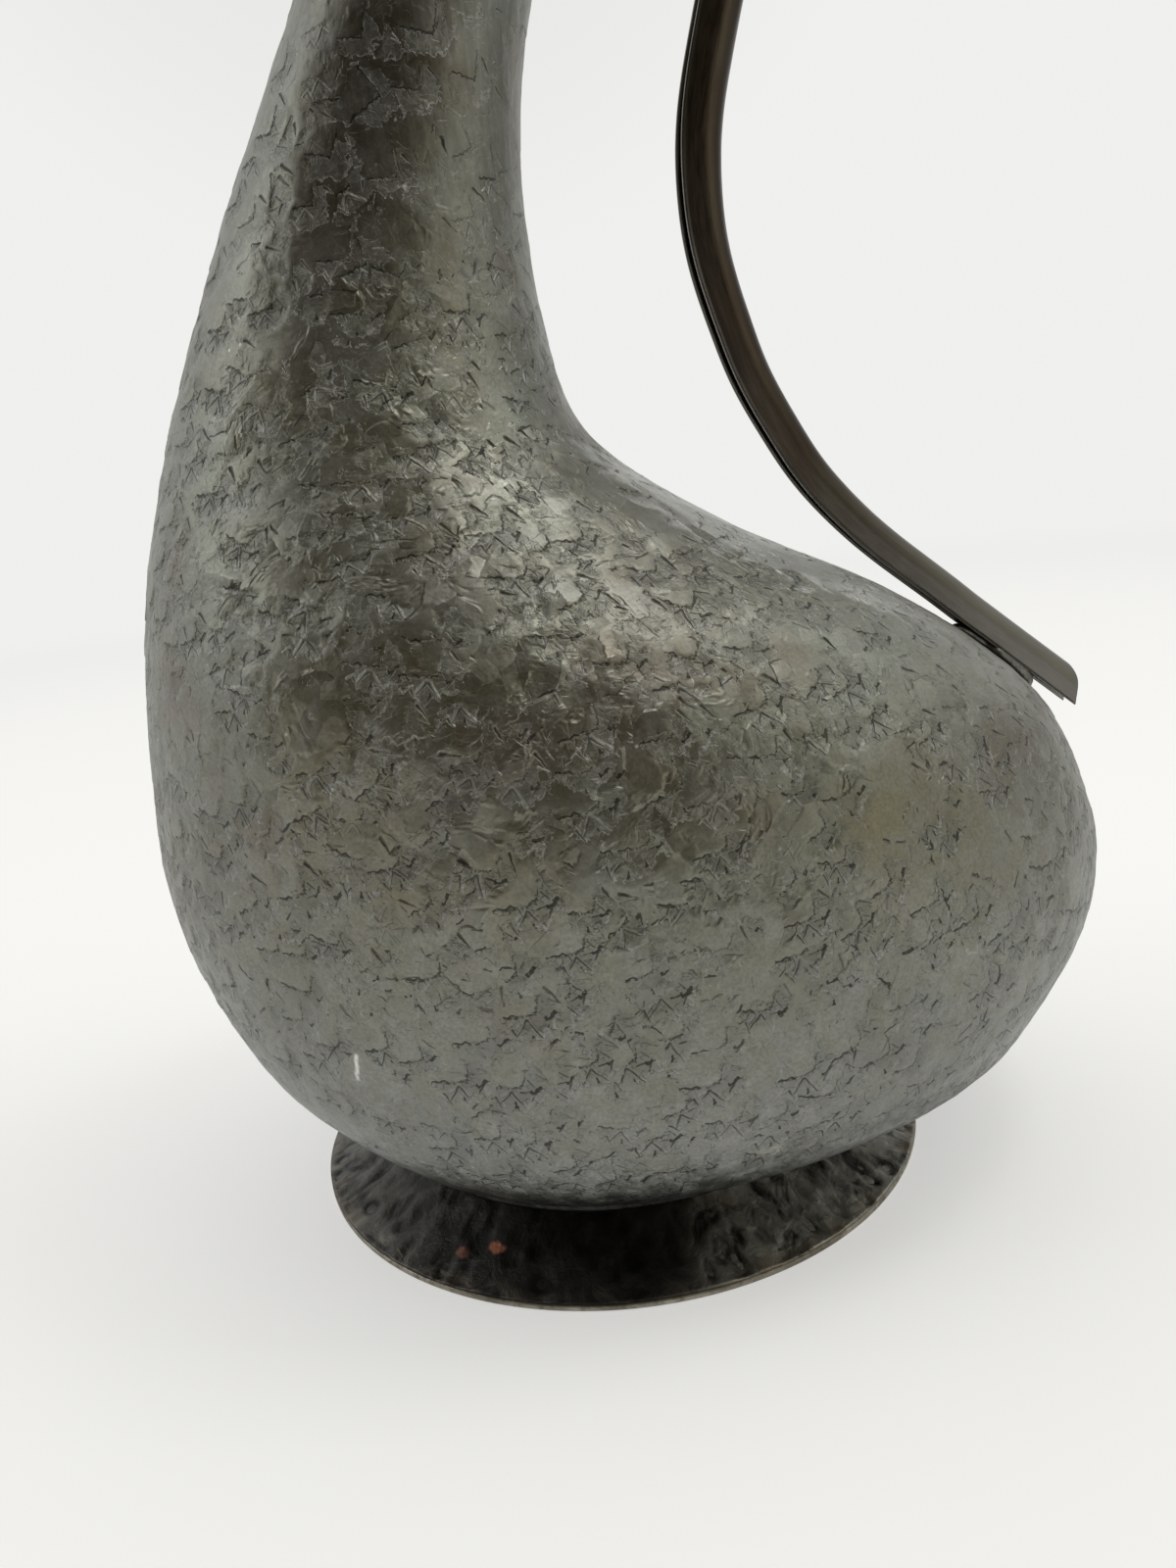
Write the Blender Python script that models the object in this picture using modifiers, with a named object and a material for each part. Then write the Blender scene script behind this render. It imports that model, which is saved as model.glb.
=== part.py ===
"""Hammered copper ewer: a goose-shaped body on a flared foot, with a swept channel handle.

Metres, +Z up. The mouth's beak faces -X, the tail faces +X, and the ewer is symmetric about Y = 0.
Body heights are measured from the seat, the circle where the belly sits on the foot.
"""

import math

import bmesh
import bpy
from mathutils import Vector

# Clearance left between pieces that touch
PIECE_GAP = 0.0003

# Foot: a flared skirt standing on a flat hem
FOOT_HEIGHT = 0.0120
FOOT_SEAT_RADIUS = 0.0500
FOOT_RIM_RADIUS = 0.0650
FOOT_WALL = 0.0014
FOOT_FLARE_SAG = 0.0009
FOOT_LAP = 0.0030
HEM_HEIGHT = 0.0013
HEM_WIDTH = 0.0026
FOOT_SOLDER_WIDTH = 0.0016

# Base: a domed plate let into the opening under the belly
BASE_HOLE_RADIUS = 0.0420
BASE_HOLE_DROP = 0.0015
BASE_THICKNESS = 0.0012
BASE_DOME = 0.0020

# Body: egg-shaped level sections, from the belly up to the mouth.
# Height above the seat, reach to the front, reach to the back, half width, and where it is widest.
BODY_WALL = 0.0012
BODY_SECTIONS = (
    (0.0080, -0.0590, 0.0845, 0.0630, 0.0020),
    (0.0210, -0.0725, 0.0960, 0.0710, 0.0050),
    (0.0400, -0.0815, 0.1045, 0.0750, 0.0060),
    (0.0600, -0.0855, 0.1025, 0.0750, 0.0030),
    (0.0800, -0.0845, 0.0918, 0.0720, -0.0060),
    (0.1000, -0.0820, 0.0660, 0.0650, -0.0180),
    (0.1180, -0.0785, 0.0325, 0.0530, -0.0280),
    (0.1360, -0.0730, 0.0088, 0.0410, -0.0320),
    (0.1560, -0.0650, 0.0025, 0.0330, -0.0310),
    (0.1780, -0.0545, 0.0010, 0.0270, -0.0265),
    (0.1980, -0.0440, 0.0030, 0.0230, -0.0200),
    (0.2160, -0.0345, 0.0075, 0.0205, -0.0130),
    (0.2340, -0.0270, 0.0115, 0.0190, -0.0080),
    (0.2500, -0.0270, 0.0145, 0.0190, -0.0060),
    (0.2650, -0.0380, 0.0165, 0.0220, -0.0060),
    (0.2770, -0.0520, 0.0180, 0.0260, -0.0060),
)
BEAK_FROM = 0.2340
BEAK_LIFT = 0.0060
BEAK_PINCH = 0.32
RIM_WIRE_RADIUS = 0.0014

# Handle: a deep half-round channel, open towards the body and slimmer at the tail
HANDLE_WIDTH = 0.0088
HANDLE_DEPTH = 0.0084
HANDLE_WALL = 0.0015
HANDLE_EDGE_INSET = 0.0005
HANDLE_EDGE_HEIGHT = 0.0040
HANDLE_TAIL_SCALE = 0.78
HANDLE_FULL_HEIGHT = 0.2000
HANDLE_END_CUT = math.radians(35.0)
SOLDER_THICKNESS = 0.0010
SOLDER_WIDTH = 0.0064

# Handle's lower end: it lies along the tail and runs on past it, and its solder lies towards the free end
TAIL_SEAT_HEIGHT = 0.0860
TAIL_LAP = 0.0160
TAIL_OVERHANG = 0.0260
TAIL_SOLDER_SHIFT = 0.0080

# Handle's rise beside the neck: height above the seat, and gap to the back of the body
RISE_POINTS = (
    (0.1170, 0.0197),
    (0.1330, 0.0317),
    (0.1500, 0.0323),
    (0.1780, 0.0295),
    (0.2090, 0.0305),
    (0.2330, 0.0350),
    (0.2500, 0.0395),
)

# Handle's loop: how far under the mouth it meets the back of the neck, and places out from and above there
NECK_SEAT_DROP = 0.0160
NECK_LAP = 0.0120
LOOP_POINTS = (
    (0.0425, 0.0040),
    (0.0390, 0.0145),
    (0.0295, 0.0205),
    (0.0190, 0.0150),
    (0.0090, 0.0030),
    (-0.0020, -0.0080),
)

# Facets
BODY_SIDES = 40
SECTION_STEPS = 2
TURN_STEPS = 48
FLARE_STEPS = 5
DOME_STEPS = 2
CHANNEL_STEPS = 8
HANDLE_STEPS = 5
WIRE_SIDES = 2

# Working limits: points closer than this are one point, heights this far apart give a slope,
# and a search halves its range this often
WELD_DISTANCE = 0.000001
SLOPE_STEP = 0.0005
HALVINGS = 40

# Finishes: red, green, blue and roughness
BODY_COPPER = (0.085, 0.082, 0.076, 0.45)
FOOT_BLACK = (0.030, 0.028, 0.027, 0.60)
HEM_BROWN = (0.150, 0.125, 0.100, 0.50)
HANDLE_BROWN = (0.075, 0.062, 0.052, 0.40)
SOLDER_GREY = (0.170, 0.170, 0.165, 0.50)


def clear_scene():
    for item in list(bpy.data.objects):
        bpy.data.objects.remove(item, do_unlink=True)


def new_collection(name):
    group = bpy.data.collections.new(name)
    bpy.context.scene.collection.children.link(group)
    return group


def new_material(name, finish):
    *colour, roughness = finish
    material = bpy.data.materials.new(name)
    material.use_nodes = True
    shader = material.node_tree.nodes["Principled BSDF"]
    shader.inputs["Base Color"].default_value = (*colour, 1.0)
    shader.inputs["Roughness"].default_value = roughness
    shader.inputs["Metallic"].default_value = 1.0
    return material


def new_empty(name, group, location, parent=None):
    empty = bpy.data.objects.new(name, None)
    empty.location = location
    empty.parent = parent
    group.objects.link(empty)
    return empty


def new_piece(name, data, group, parent, finish):
    piece = bpy.data.objects.new(name, data)
    piece.parent = parent
    data.materials.append(new_material(name, finish))
    group.objects.link(piece)
    return piece


def smooth_through(points, position):
    """A point on a smooth curve through points, where position counts along them from 0."""
    last = len(points) - 1
    index = min(int(position), last - 1)
    share = position - index
    start, end = points[index], points[index + 1]
    before = points[index - 1] if index > 0 else [2 * a - b for a, b in zip(start, end)]
    after = points[index + 2] if index + 2 <= last else [2 * b - a for a, b in zip(start, end)]
    return [
        0.5 * (2 * b + (c - a) * share + (2 * a - 5 * b + 4 * c - d) * share**2
               + (3 * b - a - 3 * c + d) * share**3)
        for a, b, c, d in zip(before, start, end, after)
    ]


def mouth_height():
    """Height of the mouth's level edge above the seat."""
    return BODY_SECTIONS[-1][0]


def neck_seat_height():
    """Height above the seat at which the handle meets the back of the neck."""
    return mouth_height() - NECK_SEAT_DROP


def body_sections():
    """The body's sections with the two round ones at its foot: base opening and seat."""
    opening = (-BASE_HOLE_DROP, -BASE_HOLE_RADIUS, BASE_HOLE_RADIUS, BASE_HOLE_RADIUS, 0.0)
    seat = (0.0, -FOOT_SEAT_RADIUS, FOOT_SEAT_RADIUS, FOOT_SEAT_RADIUS, 0.0)
    return (opening, seat) + BODY_SECTIONS


def section_point(section, angle):
    """A point of one section; angle 0 is the back. The mouth's front lifts and narrows to a beak."""
    height, front, back, half_width, widest = section
    beak = max(0.0, (height - BEAK_FROM) / (mouth_height() - BEAK_FROM)) ** 2
    along = math.cos(angle)
    ahead = max(0.0, -along) ** 2
    reach = back - widest if along > 0 else widest - front
    side = half_width * math.sin(angle) * (1.0 - BEAK_PINCH * beak * ahead)
    return Vector((widest + reach * along, side, height + BEAK_LIFT * beak * ahead))


def section_where(measure, target, last):
    """The section, up to number last, at which a measure that grows up the body reaches target."""
    sections = body_sections()
    low, high = 0.0, float(last)
    for _ in range(HALVINGS):
        middle = (low + high) / 2
        if measure(smooth_through(sections, middle)) < target:
            low = middle
        else:
            high = middle
    return smooth_through(sections, (low + high) / 2)


def back_point(height):
    """The point on the back of the body at one height."""
    section = section_where(lambda s: s[0], height, len(body_sections()) - 1)
    return section_point(section, 0.0)


def back_of_body(height):
    """The back of the body at one height, with the way up along it and the way straight out of it."""
    along = (back_point(height + SLOPE_STEP) - back_point(height - SLOPE_STEP)).normalized()
    return back_point(height), along, Vector((along.z, 0.0, -along.x))


def under_belly(radius):
    """Height of the belly's underside between the base opening and the seat, at one radius."""
    return section_where(lambda s: -s[1], radius, 1)[0]


def rim_wire_points():
    """The middle of the rim wire, lying along the middle of the sheet's edge."""
    sections = body_sections()
    rim, below = sections[-1], smooth_through(sections, len(sections) - 1 - 1 / SECTION_STEPS)
    step = math.tau / BODY_SIDES
    points = []
    for n in range(BODY_SIDES):
        edge = section_point(rim, n * step)
        up = (edge - section_point(below, n * step)).normalized()
        around = section_point(rim, (n + 1) * step) - section_point(rim, (n - 1) * step)
        out = around.cross(up).normalized()
        points.append(edge + up * (RIM_WIRE_RADIUS + 2 * PIECE_GAP) - out * BODY_WALL / 2)
    return points


def add_body(group, seat):
    """The raised shell: sections lofted into one skin, then given the sheet's thickness inwards."""
    sections = body_sections()
    levels = SECTION_STEPS * (len(sections) - 1)
    angles = [math.tau * n / BODY_SIDES for n in range(BODY_SIDES)]
    skin = bmesh.new()
    rings = []
    for level in range(levels + 1):
        section = smooth_through(sections, level / SECTION_STEPS)
        rings.append([skin.verts.new(section_point(section, angle)) for angle in angles])
    for lower, upper in zip(rings, rings[1:]):
        for n in range(BODY_SIDES):
            after = (n + 1) % BODY_SIDES
            skin.faces.new((lower[n], lower[after], upper[after], upper[n]))
    mesh = bpy.data.meshes.new("body_shell")
    skin.to_mesh(mesh)
    skin.free()
    mesh.shade_smooth()
    body = new_piece("body_shell", mesh, group, seat, BODY_COPPER)
    wall = body.modifiers.new("wall", "SOLIDIFY")
    wall.thickness = BODY_WALL
    wall.offset = -1.0


def add_turned(name, outline, closed, group, parent, finish):
    """A piece turned about Z from an outline of (radius, height) that runs down its outer side."""
    profile = bmesh.new()
    corners = [profile.verts.new((radius, 0.0, height)) for radius, height in outline]
    for start, end in zip(corners, corners[1:] + corners[:1] if closed else corners[1:]):
        profile.edges.new((start, end))
    mesh = bpy.data.meshes.new(name)
    profile.to_mesh(mesh)
    profile.free()
    piece = new_piece(name, mesh, group, parent, finish)
    turn = piece.modifiers.new("turn", "SCREW")
    turn.steps = TURN_STEPS
    turn.render_steps = TURN_STEPS
    turn.use_merge_vertices = True
    turn.merge_threshold = WELD_DISTANCE
    turn.use_smooth_shade = False


def flare(radius_in, radius_out, top, bottom):
    """The foot's hollow flare from its top edge out to its rim, sagging a little below straight."""
    points = []
    for n in range(FLARE_STEPS + 1):
        share = n / FLARE_STEPS
        sag = FOOT_FLARE_SAG * math.sin(math.pi * share)
        points.append((radius_in + (radius_out - radius_in) * share, top + (bottom - top) * share - sag))
    return points


def add_foot(group, axis):
    """Skirt, hem and solder run, from the seat down to the floor."""
    top_radius = FOOT_SEAT_RADIUS - FOOT_LAP
    top = FOOT_HEIGHT + under_belly(top_radius) - PIECE_GAP
    bottom = HEM_HEIGHT + PIECE_GAP
    outer = flare(top_radius, FOOT_RIM_RADIUS, top, bottom)
    inner = flare(top_radius - FOOT_WALL, FOOT_RIM_RADIUS - FOOT_WALL, top - FOOT_WALL, bottom)
    add_turned("foot_ring", outer + inner[::-1], True, group, axis, FOOT_BLACK)

    hem_inner = FOOT_RIM_RADIUS - HEM_WIDTH
    hem = ((hem_inner, HEM_HEIGHT), (FOOT_RIM_RADIUS, HEM_HEIGHT), (FOOT_RIM_RADIUS, 0.0), (hem_inner, 0.0))
    add_turned("foot_hem", hem, True, group, axis, HEM_BROWN)

    slope = (top - bottom) / (FOOT_RIM_RADIUS - top_radius)
    solder_in = FOOT_SEAT_RADIUS - FOOT_SOLDER_WIDTH
    solder = [(r, FOOT_HEIGHT + under_belly(r) - PIECE_GAP) for r in (solder_in, FOOT_SEAT_RADIUS)]
    solder += [(r, top - slope * (r - top_radius) + PIECE_GAP) for r in (FOOT_SEAT_RADIUS, solder_in)]
    add_turned("foot_solder", solder, True, group, axis, SOLDER_GREY)


def add_base(group, seat):
    """The base plate, domed up into the belly and flush in its opening."""
    tilt = BASE_HOLE_DROP / (FOOT_SEAT_RADIUS - BASE_HOLE_RADIUS)
    radius = BASE_HOLE_RADIUS - BODY_WALL * tilt - 2 * PIECE_GAP
    shares = [n / DOME_STEPS for n in range(DOME_STEPS + 1)]
    under = [(radius * share, BASE_DOME * (1 - share**2) - BASE_HOLE_DROP) for share in shares]
    over = [(across, height + BASE_THICKNESS) for across, height in under]
    add_turned("base_disc", over + under[::-1], False, group, seat, BODY_COPPER)


def add_rim_wire(group, seat):
    """The wire that stiffens the mouth, lying along the sheet's edge."""
    curve = bpy.data.curves.new("rim_wire", "CURVE")
    curve.dimensions = "3D"
    curve.bevel_depth = RIM_WIRE_RADIUS
    curve.bevel_resolution = WIRE_SIDES
    line = curve.splines.new("POLY")
    line.use_cyclic_u = True
    points = rim_wire_points()
    line.points.add(len(points) - 1)
    for place, point in zip(line.points, points):
        place.co = (*point, 1.0)
    new_piece("rim_wire", curve, group, seat, BODY_COPPER)


def seat_lift():
    """How far a soldered face stands off the body."""
    return SOLDER_THICKNESS + 2 * PIECE_GAP


def handle_route():
    """The line between the channel's two edges, from the free end at the tail up into the neck."""
    point, along, out = back_of_body(TAIL_SEAT_HEIGHT)
    touch = point + out * seat_lift()
    route = [touch - along * TAIL_OVERHANG, touch, touch + along * TAIL_LAP / 2]
    for height, gap in RISE_POINTS:
        route.append(back_point(height) + Vector((gap, 0.0, 0.0)))
    neck = back_point(neck_seat_height())
    for away, above in LOOP_POINTS:
        route.append(neck + Vector((away, 0.0, above)))
    return route


def channel_outline():
    """Half-round hollow section: out of the open side is +Y, and X runs across the strip."""
    half = HANDLE_WIDTH / 2
    edge = half - HANDLE_EDGE_INSET
    angles = [math.pi * (n / CHANNEL_STEPS - 0.5) for n in range(CHANNEL_STEPS + 1)]

    def arch(inset):
        return [
            ((half - inset) * math.sin(a),
             HANDLE_EDGE_HEIGHT + (HANDLE_DEPTH - HANDLE_EDGE_HEIGHT - inset) * math.cos(a))
            for a in angles
        ]

    outside = [(-edge, 0.0)] + arch(0.0) + [(edge, 0.0)]
    inside = [(edge - HANDLE_WALL, 0.0)] + arch(HANDLE_WALL)[::-1] + [(HANDLE_WALL - edge, 0.0)]
    return outside + inside


def handle_scale(height):
    """How slim the channel is at one height: full size beside the neck, smaller at the tail."""
    share = (height - TAIL_SEAT_HEIGHT) / (HANDLE_FULL_HEIGHT - TAIL_SEAT_HEIGHT)
    return HANDLE_TAIL_SCALE + (1.0 - HANDLE_TAIL_SCALE) * min(1.0, max(0.0, share))


def swept(name, route, scales, outline, cutters):
    """A closed shape swept along a smooth route in the plane Y = 0 with one outline, and capped."""
    section = bpy.data.curves.new(name + "_section", "CURVE")
    section.dimensions = "2D"
    section.fill_mode = "NONE"
    edge = section.splines.new("POLY")
    edge.use_cyclic_u = True
    edge.points.add(len(outline) - 1)
    for place, (across, out) in zip(edge.points, outline):
        place.co = (across, out, 0.0, 1.0)
    section_guide = bpy.data.objects.new(name + "_section", section)
    section_guide.hide_render = True
    section_guide.display_type = "WIRE"
    cutters.objects.link(section_guide)

    curve = bpy.data.curves.new(name + "_route", "CURVE")
    curve.dimensions = "3D"
    curve.twist_mode = "MINIMUM"
    curve.resolution_u = HANDLE_STEPS
    curve.bevel_mode = "OBJECT"
    curve.bevel_object = section_guide
    curve.use_fill_caps = True
    line = curve.splines.new("BEZIER")
    line.bezier_points.add(len(route) - 1)
    for place, point, scale in zip(line.bezier_points, route, scales):
        place.co = point
        place.radius = scale
        place.handle_left_type = "AUTO"
        place.handle_right_type = "AUTO"
    guide = bpy.data.objects.new(name + "_route", curve)
    cutters.objects.link(guide)
    bpy.context.view_layer.update()
    mesh = bpy.data.meshes.new_from_object(guide.evaluated_get(bpy.context.evaluated_depsgraph_get()))
    bpy.data.objects.remove(guide, do_unlink=True)

    shape = bmesh.new()
    shape.from_mesh(mesh)
    bpy.data.meshes.remove(mesh)
    bmesh.ops.remove_doubles(shape, verts=shape.verts, dist=WELD_DISTANCE)
    return shape


def cut_off(shape, place, facing, reach):
    """Cuts away what lies past a plane, no further than reach from one place on it, and closes the cut."""
    near = {vertex for vertex in shape.verts if (vertex.co - place).length < reach}
    lines = [edge for edge in shape.edges if near.issuperset(edge.verts)]
    sides = [face for face in shape.faces if near.issuperset(face.verts)]
    bmesh.ops.bisect_plane(
        shape, geom=list(near) + lines + sides, plane_co=place, plane_no=facing, clear_outer=True)
    border = [edge for edge in shape.edges if edge.is_boundary]
    bmesh.ops.triangle_fill(shape, edges=border, use_beauty=True, normal=facing)


def add_shape(name, shape, group, seat, finish):
    """Adds a swept shape as a piece, with its faces turned outwards."""
    bmesh.ops.recalc_face_normals(shape, faces=shape.faces)
    mesh = bpy.data.meshes.new(name)
    shape.to_mesh(mesh)
    shape.free()
    new_piece(name, mesh, group, seat, finish)


def add_handle(group, cutters, seat):
    """The channel swept along its route: its free end cut upright, its upper end cut to the neck."""
    route = handle_route()
    scales = [handle_scale(point.z) for point in route]
    shape = swept("handle", route, scales, channel_outline(), cutters)
    along = (route[0] - route[1]).normalized()
    out = Vector((-along.z, 0.0, along.x))
    facing = along * math.cos(HANDLE_END_CUT) + out * math.sin(HANDLE_END_CUT)
    cut_off(shape, route[0], facing, TAIL_OVERHANG)
    neck, _, neck_out = back_of_body(neck_seat_height())
    cut_off(shape, neck + neck_out * seat_lift(), -neck_out, 2 * NECK_LAP)
    add_shape("handle", shape, group, seat, HANDLE_BROWN)


def solder_outline():
    """A flat bead: SOLDER_WIDTH across and SOLDER_THICKNESS deep."""
    angles = [math.pi * n / CHANNEL_STEPS for n in range(2 * CHANNEL_STEPS)]
    return [(SOLDER_WIDTH / 2 * math.cos(a), SOLDER_THICKNESS / 2 * math.sin(a)) for a in angles]


def add_solder(name, height, lap, shift, group, cutters, seat):
    """A flat run of solder along the back of the body, under an end of the handle and shifted down it."""
    _, slope, _ = back_of_body(height)
    route = []
    for share in (-0.5, 0.0, 0.5):
        point, _, out = back_of_body(height + (share * lap - shift) * slope.z)
        route.append(point + out * seat_lift() / 2)
    shape = swept(name, route, [1.0] * len(route), solder_outline(), cutters)
    add_shape(name, shape, group, seat, SOLDER_GREY)


def centre_over_base(axis, group):
    """Moves the foot's axis so that the middle of the whole ewer's length is at X = 0."""
    bpy.context.view_layer.update()
    graph = bpy.context.evaluated_depsgraph_get()
    reach = []
    for piece in group.objects:
        if piece.type != "EMPTY":
            shape = piece.evaluated_get(graph)
            reach += [(piece.matrix_world @ vertex.co).x for vertex in shape.to_mesh().vertices]
            shape.to_mesh_clear()
    axis.location.x -= (min(reach) + max(reach)) / 2


def main():
    clear_scene()
    ewer = new_collection("ewer")
    cutters = new_collection("cutters")
    axis = new_empty("foot_axis", ewer, (0.0, 0.0, 0.0))
    seat = new_empty("body_seat", ewer, (0.0, 0.0, FOOT_HEIGHT), axis)
    add_body(ewer, seat)
    add_base(ewer, seat)
    add_foot(ewer, axis)
    add_rim_wire(ewer, seat)
    add_handle(ewer, cutters, seat)
    add_solder("tail_solder", TAIL_SEAT_HEIGHT, TAIL_LAP, TAIL_SOLDER_SHIFT, ewer, cutters, seat)
    add_solder("neck_solder", neck_seat_height(), NECK_LAP, 0.0, ewer, cutters, seat)
    centre_over_base(axis, ewer)


main()
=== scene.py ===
import math

import bpy
import numpy as np
from mathutils import Matrix, Vector


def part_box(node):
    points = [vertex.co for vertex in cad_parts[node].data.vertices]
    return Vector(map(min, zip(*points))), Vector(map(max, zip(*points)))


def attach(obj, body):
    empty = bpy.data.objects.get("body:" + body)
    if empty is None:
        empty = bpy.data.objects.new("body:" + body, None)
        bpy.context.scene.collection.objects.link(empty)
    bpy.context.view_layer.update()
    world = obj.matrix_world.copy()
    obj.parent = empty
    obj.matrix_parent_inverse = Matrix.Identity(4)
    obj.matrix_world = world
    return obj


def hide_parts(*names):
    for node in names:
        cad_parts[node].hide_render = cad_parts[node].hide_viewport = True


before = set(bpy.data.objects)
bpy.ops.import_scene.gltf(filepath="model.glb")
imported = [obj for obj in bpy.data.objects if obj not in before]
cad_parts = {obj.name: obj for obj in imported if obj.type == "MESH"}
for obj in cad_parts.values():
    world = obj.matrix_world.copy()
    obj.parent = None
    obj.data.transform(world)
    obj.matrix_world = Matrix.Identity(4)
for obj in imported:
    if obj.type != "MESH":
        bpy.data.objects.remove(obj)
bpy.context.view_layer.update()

# Body shell: one sheet of copper raised by hammering, from the belly up the leaning neck to the beaked mouth.
# Its outside is planished all over with one cracked hammer face, so every blow leaves the same marks, and it
# is coloured to a dark grey-brown patina. It sits on the foot and is soldered to it all round.
MM = 0.001
FOOT_LOW, FOOT_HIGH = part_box("foot_ring")
FOOT_AXIS_X = (FOOT_LOW.x + FOOT_HIGH.x) / 2
SEAT_Z = 0.0120
BODY_WALL = 0.0012
BODY_SECTIONS = np.array((
    # height above the seat, reach to the front, reach to the back, half width, where it is widest
    (-0.0015, -0.0420, 0.0420, 0.0420, 0.0),
    (0.0, -0.0500, 0.0500, 0.0500, 0.0),
    (0.0080, -0.0590, 0.0845, 0.0630, 0.0020),
    (0.0210, -0.0725, 0.0960, 0.0710, 0.0050),
    (0.0400, -0.0815, 0.1045, 0.0750, 0.0060),
    (0.0600, -0.0855, 0.1025, 0.0750, 0.0030),
    (0.0800, -0.0845, 0.0918, 0.0720, -0.0060),
    (0.1000, -0.0820, 0.0660, 0.0650, -0.0180),
    (0.1180, -0.0785, 0.0325, 0.0530, -0.0280),
    (0.1360, -0.0730, 0.0088, 0.0410, -0.0320),
    (0.1560, -0.0650, 0.0025, 0.0330, -0.0310),
    (0.1780, -0.0545, 0.0010, 0.0270, -0.0265),
    (0.1980, -0.0440, 0.0030, 0.0230, -0.0200),
    (0.2160, -0.0345, 0.0075, 0.0205, -0.0130),
    (0.2340, -0.0270, 0.0115, 0.0190, -0.0080),
    (0.2500, -0.0270, 0.0145, 0.0190, -0.0060),
    (0.2650, -0.0380, 0.0165, 0.0220, -0.0060),
    (0.2770, -0.0520, 0.0180, 0.0260, -0.0060),
))
MOUTH_HEIGHT = BODY_SECTIONS[-1, 0]
BEAK_FROM = 0.2340
BEAK_LIFT = 0.0060
BEAK_PINCH = 0.32
SKIN_STEP = 0.0006
BELLY_SIDES = 800
NECK_SIDES = BELLY_SIDES // 2
NECK_FROM = 0.1180
INSIDE_STEP = 6
OUTLINE_SAMPLES = 3000
OUTLINE_LINES = 8


def full_turn(count):
    """Evenly spaced angles all the way round."""
    return np.arange(count) * math.tau / count


def smooth_through(points, positions):
    """Points on a smooth curve through points, where positions count along them from 0."""
    padded = np.vstack([2 * points[0] - points[1], points, 2 * points[-1] - points[-2]])
    index = np.minimum(np.asarray(positions).astype(int), len(points) - 2)
    share = (positions - index)[:, None]
    a, b, c, d = (padded[index + k] for k in range(4))
    curved = (2 * a - 5 * b + 4 * c - d) * share**2 + (3 * b - a - 3 * c + d) * share**3
    return 0.5 * (2 * b + (c - a) * share + curved)


def body_skin(positions, angles):
    """Points of the smooth outer skin; angle 0 is the back, and the mouth's front narrows to a beak."""
    height, front, back, half_width, widest = smooth_through(BODY_SECTIONS, positions).T
    along = np.cos(angles)
    ahead = np.clip(-along, 0, None) ** 2
    beak = np.clip((height - BEAK_FROM) / (MOUTH_HEIGHT - BEAK_FROM), 0, None) ** 2
    reach = np.where(along > 0, back - widest, widest - front)
    across = half_width * np.sin(angles) * (1 - BEAK_PINCH * beak * ahead)
    points = (FOOT_AXIS_X + widest + reach * along, across, SEAT_Z + height + BEAK_LIFT * beak * ahead)
    return np.stack(points, axis=-1)


def skin_frame(positions, angles):
    """Points of the skin with the ways across and straight out of it, as seen from outside."""
    small = 1e-4
    top = len(BODY_SECTIONS) - 1
    across = body_skin(positions, angles + small) - body_skin(positions, angles - small)
    higher, lower = np.minimum(positions + small, top), np.maximum(positions - small, 0)
    upwards = body_skin(higher, angles) - body_skin(lower, angles)
    across /= np.linalg.norm(across, axis=-1, keepdims=True)
    out = np.cross(across, upwards)
    out /= np.linalg.norm(out, axis=-1, keepdims=True)
    return body_skin(positions, angles), across, out


def even_positions(step):
    """Positions up the body that are about one step apart along its outline."""
    fine = np.linspace(0, len(BODY_SECTIONS) - 1, OUTLINE_SAMPLES)
    lines = [body_skin(fine, np.full(len(fine), angle)) for angle in full_turn(OUTLINE_LINES)]
    steps = np.mean([np.linalg.norm(np.diff(line, axis=0), axis=1) for line in lines], axis=0)
    run = np.concatenate([[0], np.cumsum(steps)])
    return np.interp(np.linspace(0, run[-1], round(run[-1] / step) + 1), run, fine)


def ring_faces(rings):
    """Faces that join closed rings in turn, the last to the first, and where each corner is on its ring.
    A ring has as many points as the next, twice as many or half as many."""
    starts = np.concatenate([[0], np.cumsum(rings)])
    faces, places = [], []
    for ring, count in enumerate(rings):
        after = (ring + 1) % len(rings)
        n = np.arange(min(count, rings[after]))
        low, high = (ring, count), (after, rings[after])
        if count == rings[after]:
            shapes = [[(low, n), (low, n + 1), (high, n + 1), (high, n)]]
        elif count > rings[after]:
            shapes = [
                [(low, 2 * n), (low, 2 * n + 1), (high, n)],
                [(low, 2 * n + 1), (high, n + 1), (high, n)],
                [(low, 2 * n + 1), (low, 2 * n + 2), (high, n + 1)],
            ]
        else:
            shapes = [
                [(low, n), (high, 2 * n + 1), (high, 2 * n)],
                [(low, n), (low, n + 1), (high, 2 * n + 1)],
                [(low, n + 1), (high, 2 * n + 2), (high, 2 * n + 1)],
            ]
        for shape in shapes:
            corners = [starts[r] + column % total for (r, total), column in shape]
            faces += np.stack(corners, axis=1).tolist()
            spots = [np.stack([column / total, np.full(len(n), float(ring + (r != ring)))], axis=1)
                     for (r, total), column in shape]
            places.append(np.stack(spots, axis=1).reshape(-1, 2))
    return faces, np.concatenate(places)


def add_piece(name, points, faces):
    """A smooth-shaded mesh object made of points and faces."""
    mesh = bpy.data.meshes.new(name)
    mesh.from_pydata(np.asarray(points).tolist(), [], faces)
    mesh.shade_smooth()
    piece = bpy.data.objects.new(name, mesh)
    bpy.context.scene.collection.objects.link(piece)
    return piece


def give_values(mesh, name, kind, domain, values):
    """Stores one value for each point or face of a mesh, for its material to read."""
    field = "vector" if kind == "FLOAT_VECTOR" else "value"
    store = mesh.attributes.new(name, kind, domain)
    store.data.foreach_set(field, np.asarray(values, np.float32).ravel())


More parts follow.
